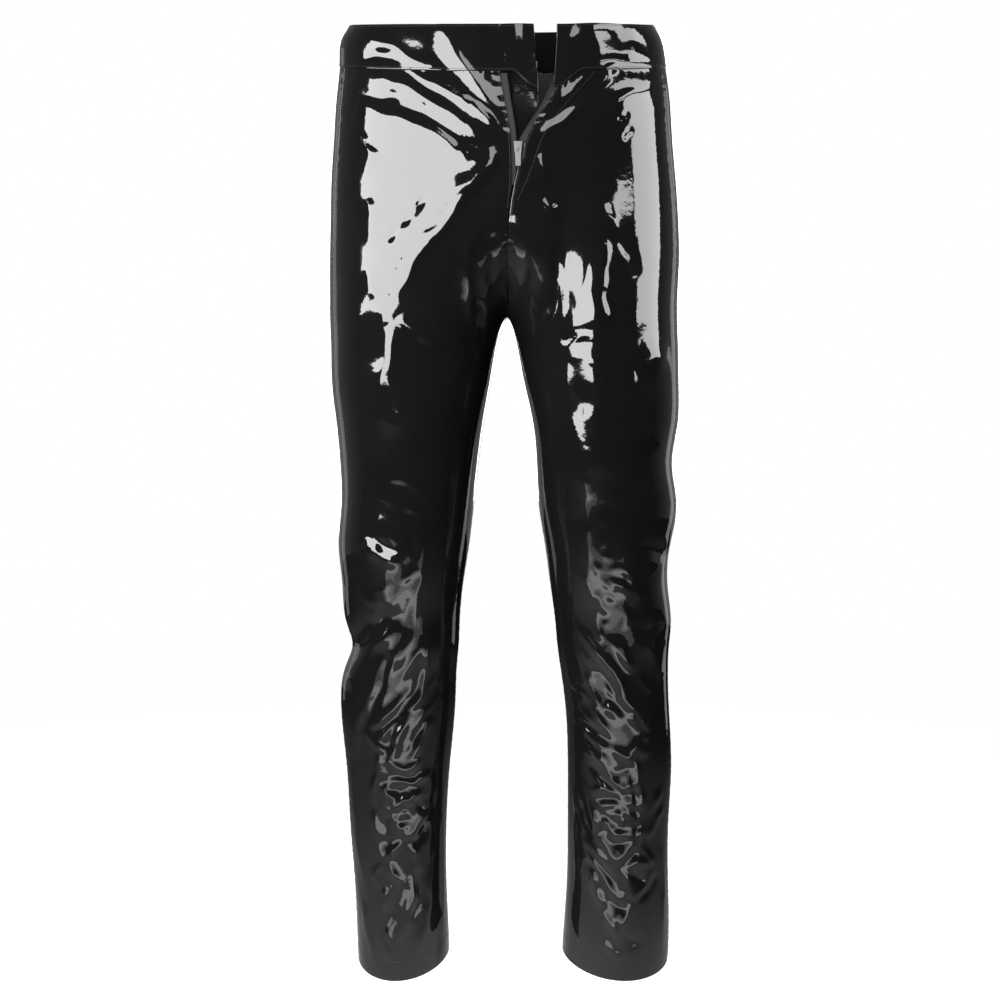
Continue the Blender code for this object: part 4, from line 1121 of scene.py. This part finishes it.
def on_front(x, z):
    """A point on the left front's finished surface at x and z: a mean of the grid's points close by."""
    grid = panels[LEFT, "front"]["outer"]
    share = np.exp(-((grid[..., 0] - x) ** 2 + (grid[..., 2] - z) ** 2) / FLY_STITCH_BLUR**2)
    return (grid * share[..., None]).sum((0, 1)) / share.sum()


stations = np.linspace(0, 1, len(FLY_STITCH))
fly_x = smooth_curve(stations, [p[0] for p in FLY_STITCH])
fly_z = smooth_curve(stations, [p[1] for p in FLY_STITCH])
fly_line = np.array([on_front(fly_x(t), fly_z(t)) for t in np.linspace(0, 1, FLY_STITCH_STEPS)])
sew("fly_stitches", [fly_line])

# %% [markdown]
# ### Teeth, slider, pull and snap
# The teeth and the snap are plated in black nickel, the slider and its pull
# in bright nickel. Plating is smooth metal with a faint cloudiness from
# handling. The slider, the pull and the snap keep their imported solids, whose
# shape is right. The teeth come one every 2.1 mm on each tape, and the left
# chain is half a pitch lower, so that the two sides mesh when closed.

# %% Plated metal
def make_plated(name, dark_colour, light_colour, roughness):
    made, tree, shader, place = new_material(name)
    cloud = noise(tree, place, 2.86, 2.0)
    spread_roughness(tree, shader, cloud, roughness * 0.9, roughness * 1.2)
    blend_colour(tree, shader, cloud, dark_colour, light_colour)
    tree.links.new(bumped(tree, cloud, 0.03, 0.05), shader.inputs["Normal"])
    shader.inputs["Metallic"].default_value = 1.0
    return made


nickel = make_plated("bright_nickel_plate", "#b4b2ae", "#c4c2be", 0.3)
gunmetal = make_plated("black_nickel_plate", "#1e1e20", "#333336", 0.42)
for node_name, finish in (("zip_slider", nickel), ("zip_pull", nickel), ("fly_snap", gunmetal)):
    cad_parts[node_name].data.materials.clear()
    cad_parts[node_name].data.materials.append(finish)

# %% Zip teeth
TOOTH_PITCH, TOOTH_SIZE, TOOTH_BEVEL = 2.1, (1.1, 2.6, 1.5), 0.28
TOOTH_IN_TAPE = 0.832          # from the tape's edge to the middle of a tooth, which grips the tape
CHAIN_INSET, CHAIN_STEPS = 3, 60


def tooth_unit():
    """A rounded tooth: X along the chain, Y across the tape, Z out of it."""
    shape = bmesh.new()
    bmesh.ops.create_cube(shape, size=1.0)
    bmesh.ops.transform(shape, matrix=Matrix.Diagonal((*TOOTH_SIZE, 1)), verts=shape.verts)
    bmesh.ops.bevel(shape, geom=shape.edges, offset=TOOTH_BEVEL, segments=2, affect="EDGES")
    return unit_from(shape, "tooth_unit")


tooth = tooth_unit()
for side in (RIGHT, LEFT):
    phase = 0.0 if side == RIGHT else TOOTH_PITCH / 2
    z = np.linspace(TAPE_TOP - CHAIN_INSET - phase, TAPE_END + CHAIN_INSET - phase, CHAIN_STEPS)
    x = ZIP_LINE[SIDE_NAME[side]](z) + side * TOOTH_IN_TAPE
    chain_line, _ = front_at(x, z, TAPE_DEPTH + TAPE_WALL / 2)
    teeth = copies_along(f"zip_teeth_{SIDE_NAME[side]}", [chain_line], tooth, TOOTH_PITCH,
                         (0.0, -1.0, 0.0), gunmetal)
    fasten(teeth)
    print(teeth.name, len(teeth.data.polygons), "faces")

# %% [markdown]
# ## Sheets
# Each panel and waistband half has the size it was cut to printed. The sizes come
# from the made surface, with no stretch, since film on knit hardly stretches.

BAND_CUT_DEPTH = BAND_HEIGHT * 1.35            # the strip is cut deeper, for its dip at the fly


def cloth_area(made):
    """Half of a closed shell's surface, in square metres."""
    return sum(face.area for face in made.data.polygons) / 2


def say_cut(made, width, length, area):
    print(f"{made.name} cut {width:.3f} x {length:.3f} m, area {area:.4f} m2")


for (side, face), panel in panels.items():
    width, length = panel["first"].max() * MM, np.maximum(panel["top"], panel["bottom"]).max() * MM
    area = cloth_area(panel["object"])
    say_cut(panel["object"], width, length, area)
for side in (RIGHT, LEFT):
    band, front = bands[side], panels[side, "front"]["object"]
    width, length = band["first"].max() * MM, BAND_CUT_DEPTH * MM
    area = min(cloth_area(band["object"]), width * length)
    say_cut(band["object"], width, length, area)

# %% [markdown]
# ## Studio
# The floor's colour is a painted pool of light: pale near the trousers and
# darker outward, standing in for light that falls off. Seen from the camera
# it is as white as the room. A wide softbox on the camera's left, with a small one
# under it, makes the broad highlights of the thighs. One on the right, with
# two smaller ones above it, makes the band down the far hip. One overhead
# lifts the upper flanks at the waist, and three thin ones just over the
# floor, each wider and dimmer than the last, give the shins their grey
# folds. Strips beside and behind draw the outer edges. The room is dark
# behind the camera, so the film stays black where it faces us.

# %% Floor
FLOOR_Z, FLOOR_RADIUS = -1.062, 3.2
PAINTED_POOL_FADE, PAPER_GLOW = 2.0, 0.98             # how fast it darkens outward, and its white for the camera
floor_shape = bmesh.new()
bmesh.ops.create_circle(floor_shape, cap_ends=True, segments=96, radius=FLOOR_RADIUS)
floor_mesh = bpy.data.meshes.new("studio_floor")
floor_shape.to_mesh(floor_mesh)
floor_shape.free()
floor = new_object("studio_floor", floor_mesh)
floor.location = (0, 0, FLOOR_Z)
painted_pool_paper, tree, shader, place = new_material("seamless_paper_painted_pool")
# Painted pool of light: the floor's colour is pale near the middle and fades to dark outward, standing in for
# light falling off away from the trousers.
far = add_node(tree, "ShaderNodeVectorMath", {0: place}, operation="LENGTH")
fall = add_node(tree, "ShaderNodeMath", {0: far.outputs["Value"], 1: -PAINTED_POOL_FADE}, operation="MULTIPLY")
near = add_node(tree, "ShaderNodeMath", {0: fall.outputs[0]}, operation="EXPONENT")
blend_colour(tree, shader, near.outputs[0], "#161616", "#f2f2f2")
shader.inputs["Roughness"].default_value = 0.9
shader.inputs["Specular IOR Level"].default_value = 0.1
shader.inputs["Emission Color"].default_value = (1, 1, 1, 1)
seen = add_node(tree, "ShaderNodeLightPath").outputs["Is Camera Ray"]
glow = add_node(tree, "ShaderNodeMath", {0: seen, 1: PAPER_GLOW}, operation="MULTIPLY")
tree.links.new(glow.outputs[0], shader.inputs["Emission Strength"])
floor_mesh.materials.append(painted_pool_paper)

# %% Lights
# name, width, height, azimuth (0 in front, over 0 to the right), distance, Z, Z that it faces, radiance
SOFTBOXES = (
    ("softbox_left", 1.92, 0.735, -47, 1.6, 0.0975, 0.0975, 14.0),
    ("softbox_left_skirt", 0.98, 0.355, -33, 1.6, -0.4475, -0.4475, 14.0),
    ("softbox_low", 1.1, 0.10, 0, 0.8, -1.03, -0.75, 1.3),
    ("softbox_low_edge", 1.2, 0.20, 0, 0.81, -1.03, -0.75, 1.0),
    ("softbox_low_skirt", 1.3, 0.32, 0, 0.82, -1.03, -0.75, 0.8),
    ("softbox_top", 0.42, 0.86, 5, 1.34, 0.77, -0.1, 6.0),
    ("softbox_right_wing", 0.4, 0.12, 58, 1.7, 0.33, 0.33, 9.0),
    ("softbox_right_high", 1.3, 0.5, 72, 1.6, 0.75, 0.75, 8.0),
    ("softbox_right", 0.88, 0.70, 80, 1.7, 0.03, 0.03, 9.0),
    ("strip_beside_right", 0.4, 1.3, 130, 1.7, -0.35, -0.45, 0.8),
    ("strip_beside_left", 0.4, 1.3, -130, 1.7, -0.35, -0.45, 0.5),
    ("strip_behind_right", 0.3, 1.2, 164, 1.9, -0.1, -0.4, 6.0),
    ("strip_behind_left", 0.3, 1.2, -166, 1.9, -0.1, -0.4, 6.0),
)


def softbox(name, width, height, azimuth, distance, z, facing_z, radiance):
    """A rectangular light beside the trousers, in metres, hidden from the camera."""
    lamp = bpy.data.lights.new(name, "AREA")
    lamp.shape, lamp.size, lamp.size_y = "RECTANGLE", width, height
    lamp.energy = radiance * math.pi * width * height
    made = new_object(name, lamp)
    turn = math.radians(azimuth)
    made.location = (math.sin(turn) * distance, -math.cos(turn) * distance, z)
    made.rotation_euler = (Vector((0, 0, facing_z)) - made.location).to_track_quat("-Z", "Y").to_euler()
    made.visible_camera = False


for row in SOFTBOXES:
    softbox(*row)
print("softboxes:", len(SOFTBOXES))

# %% Room
world = bpy.data.worlds.new("room")
bpy.context.scene.world = world
world.use_nodes = True
room = world.node_tree
ROOM_DARK, ROOM_BEHIND = 0.012, 0.28           # behind the camera, and behind the trousers
direction = add_node(room, "ShaderNodeTexCoord").outputs["Generated"]
part = add_node(room, "ShaderNodeSeparateXYZ", {"Vector": direction})
behind = add_node(room, "ShaderNodeMapRange", {"Value": part.outputs["Y"], "From Min": -0.1, "From Max": 0.75,
                                               "To Min": ROOM_DARK, "To Max": ROOM_BEHIND})
seen = add_node(room, "ShaderNodeLightPath").outputs["Is Camera Ray"]
strength = add_node(room, "ShaderNodeMix", {0: seen, 2: behind.outputs["Result"], 3: 1.0}, data_type="FLOAT")
room.nodes["Background"].inputs["Color"].default_value = (1, 1, 1, 1)
room.links.new(strength.outputs[0], room.nodes["Background"].inputs["Strength"])

# %% Camera
CAMERA_PLACE, CAMERA_PITCH = (-0.008, -2.2, -0.36), 2.4      # metres, and degrees down
CAMERA_LENS, CAMERA_SHIFT = 71.1, -0.045
camera_data = bpy.data.cameras.new("camera")
camera = new_object("camera", camera_data)
bpy.context.scene.camera = camera
camera.location = CAMERA_PLACE
camera.rotation_euler = (math.radians(90 - CAMERA_PITCH), 0, 0)
camera_data.lens, camera_data.shift_y = CAMERA_LENS, CAMERA_SHIFT
bpy.context.scene.view_settings.view_transform = "Standard"
print("camera:", CAMERA_LENS, "mm lens, shift", CAMERA_SHIFT)
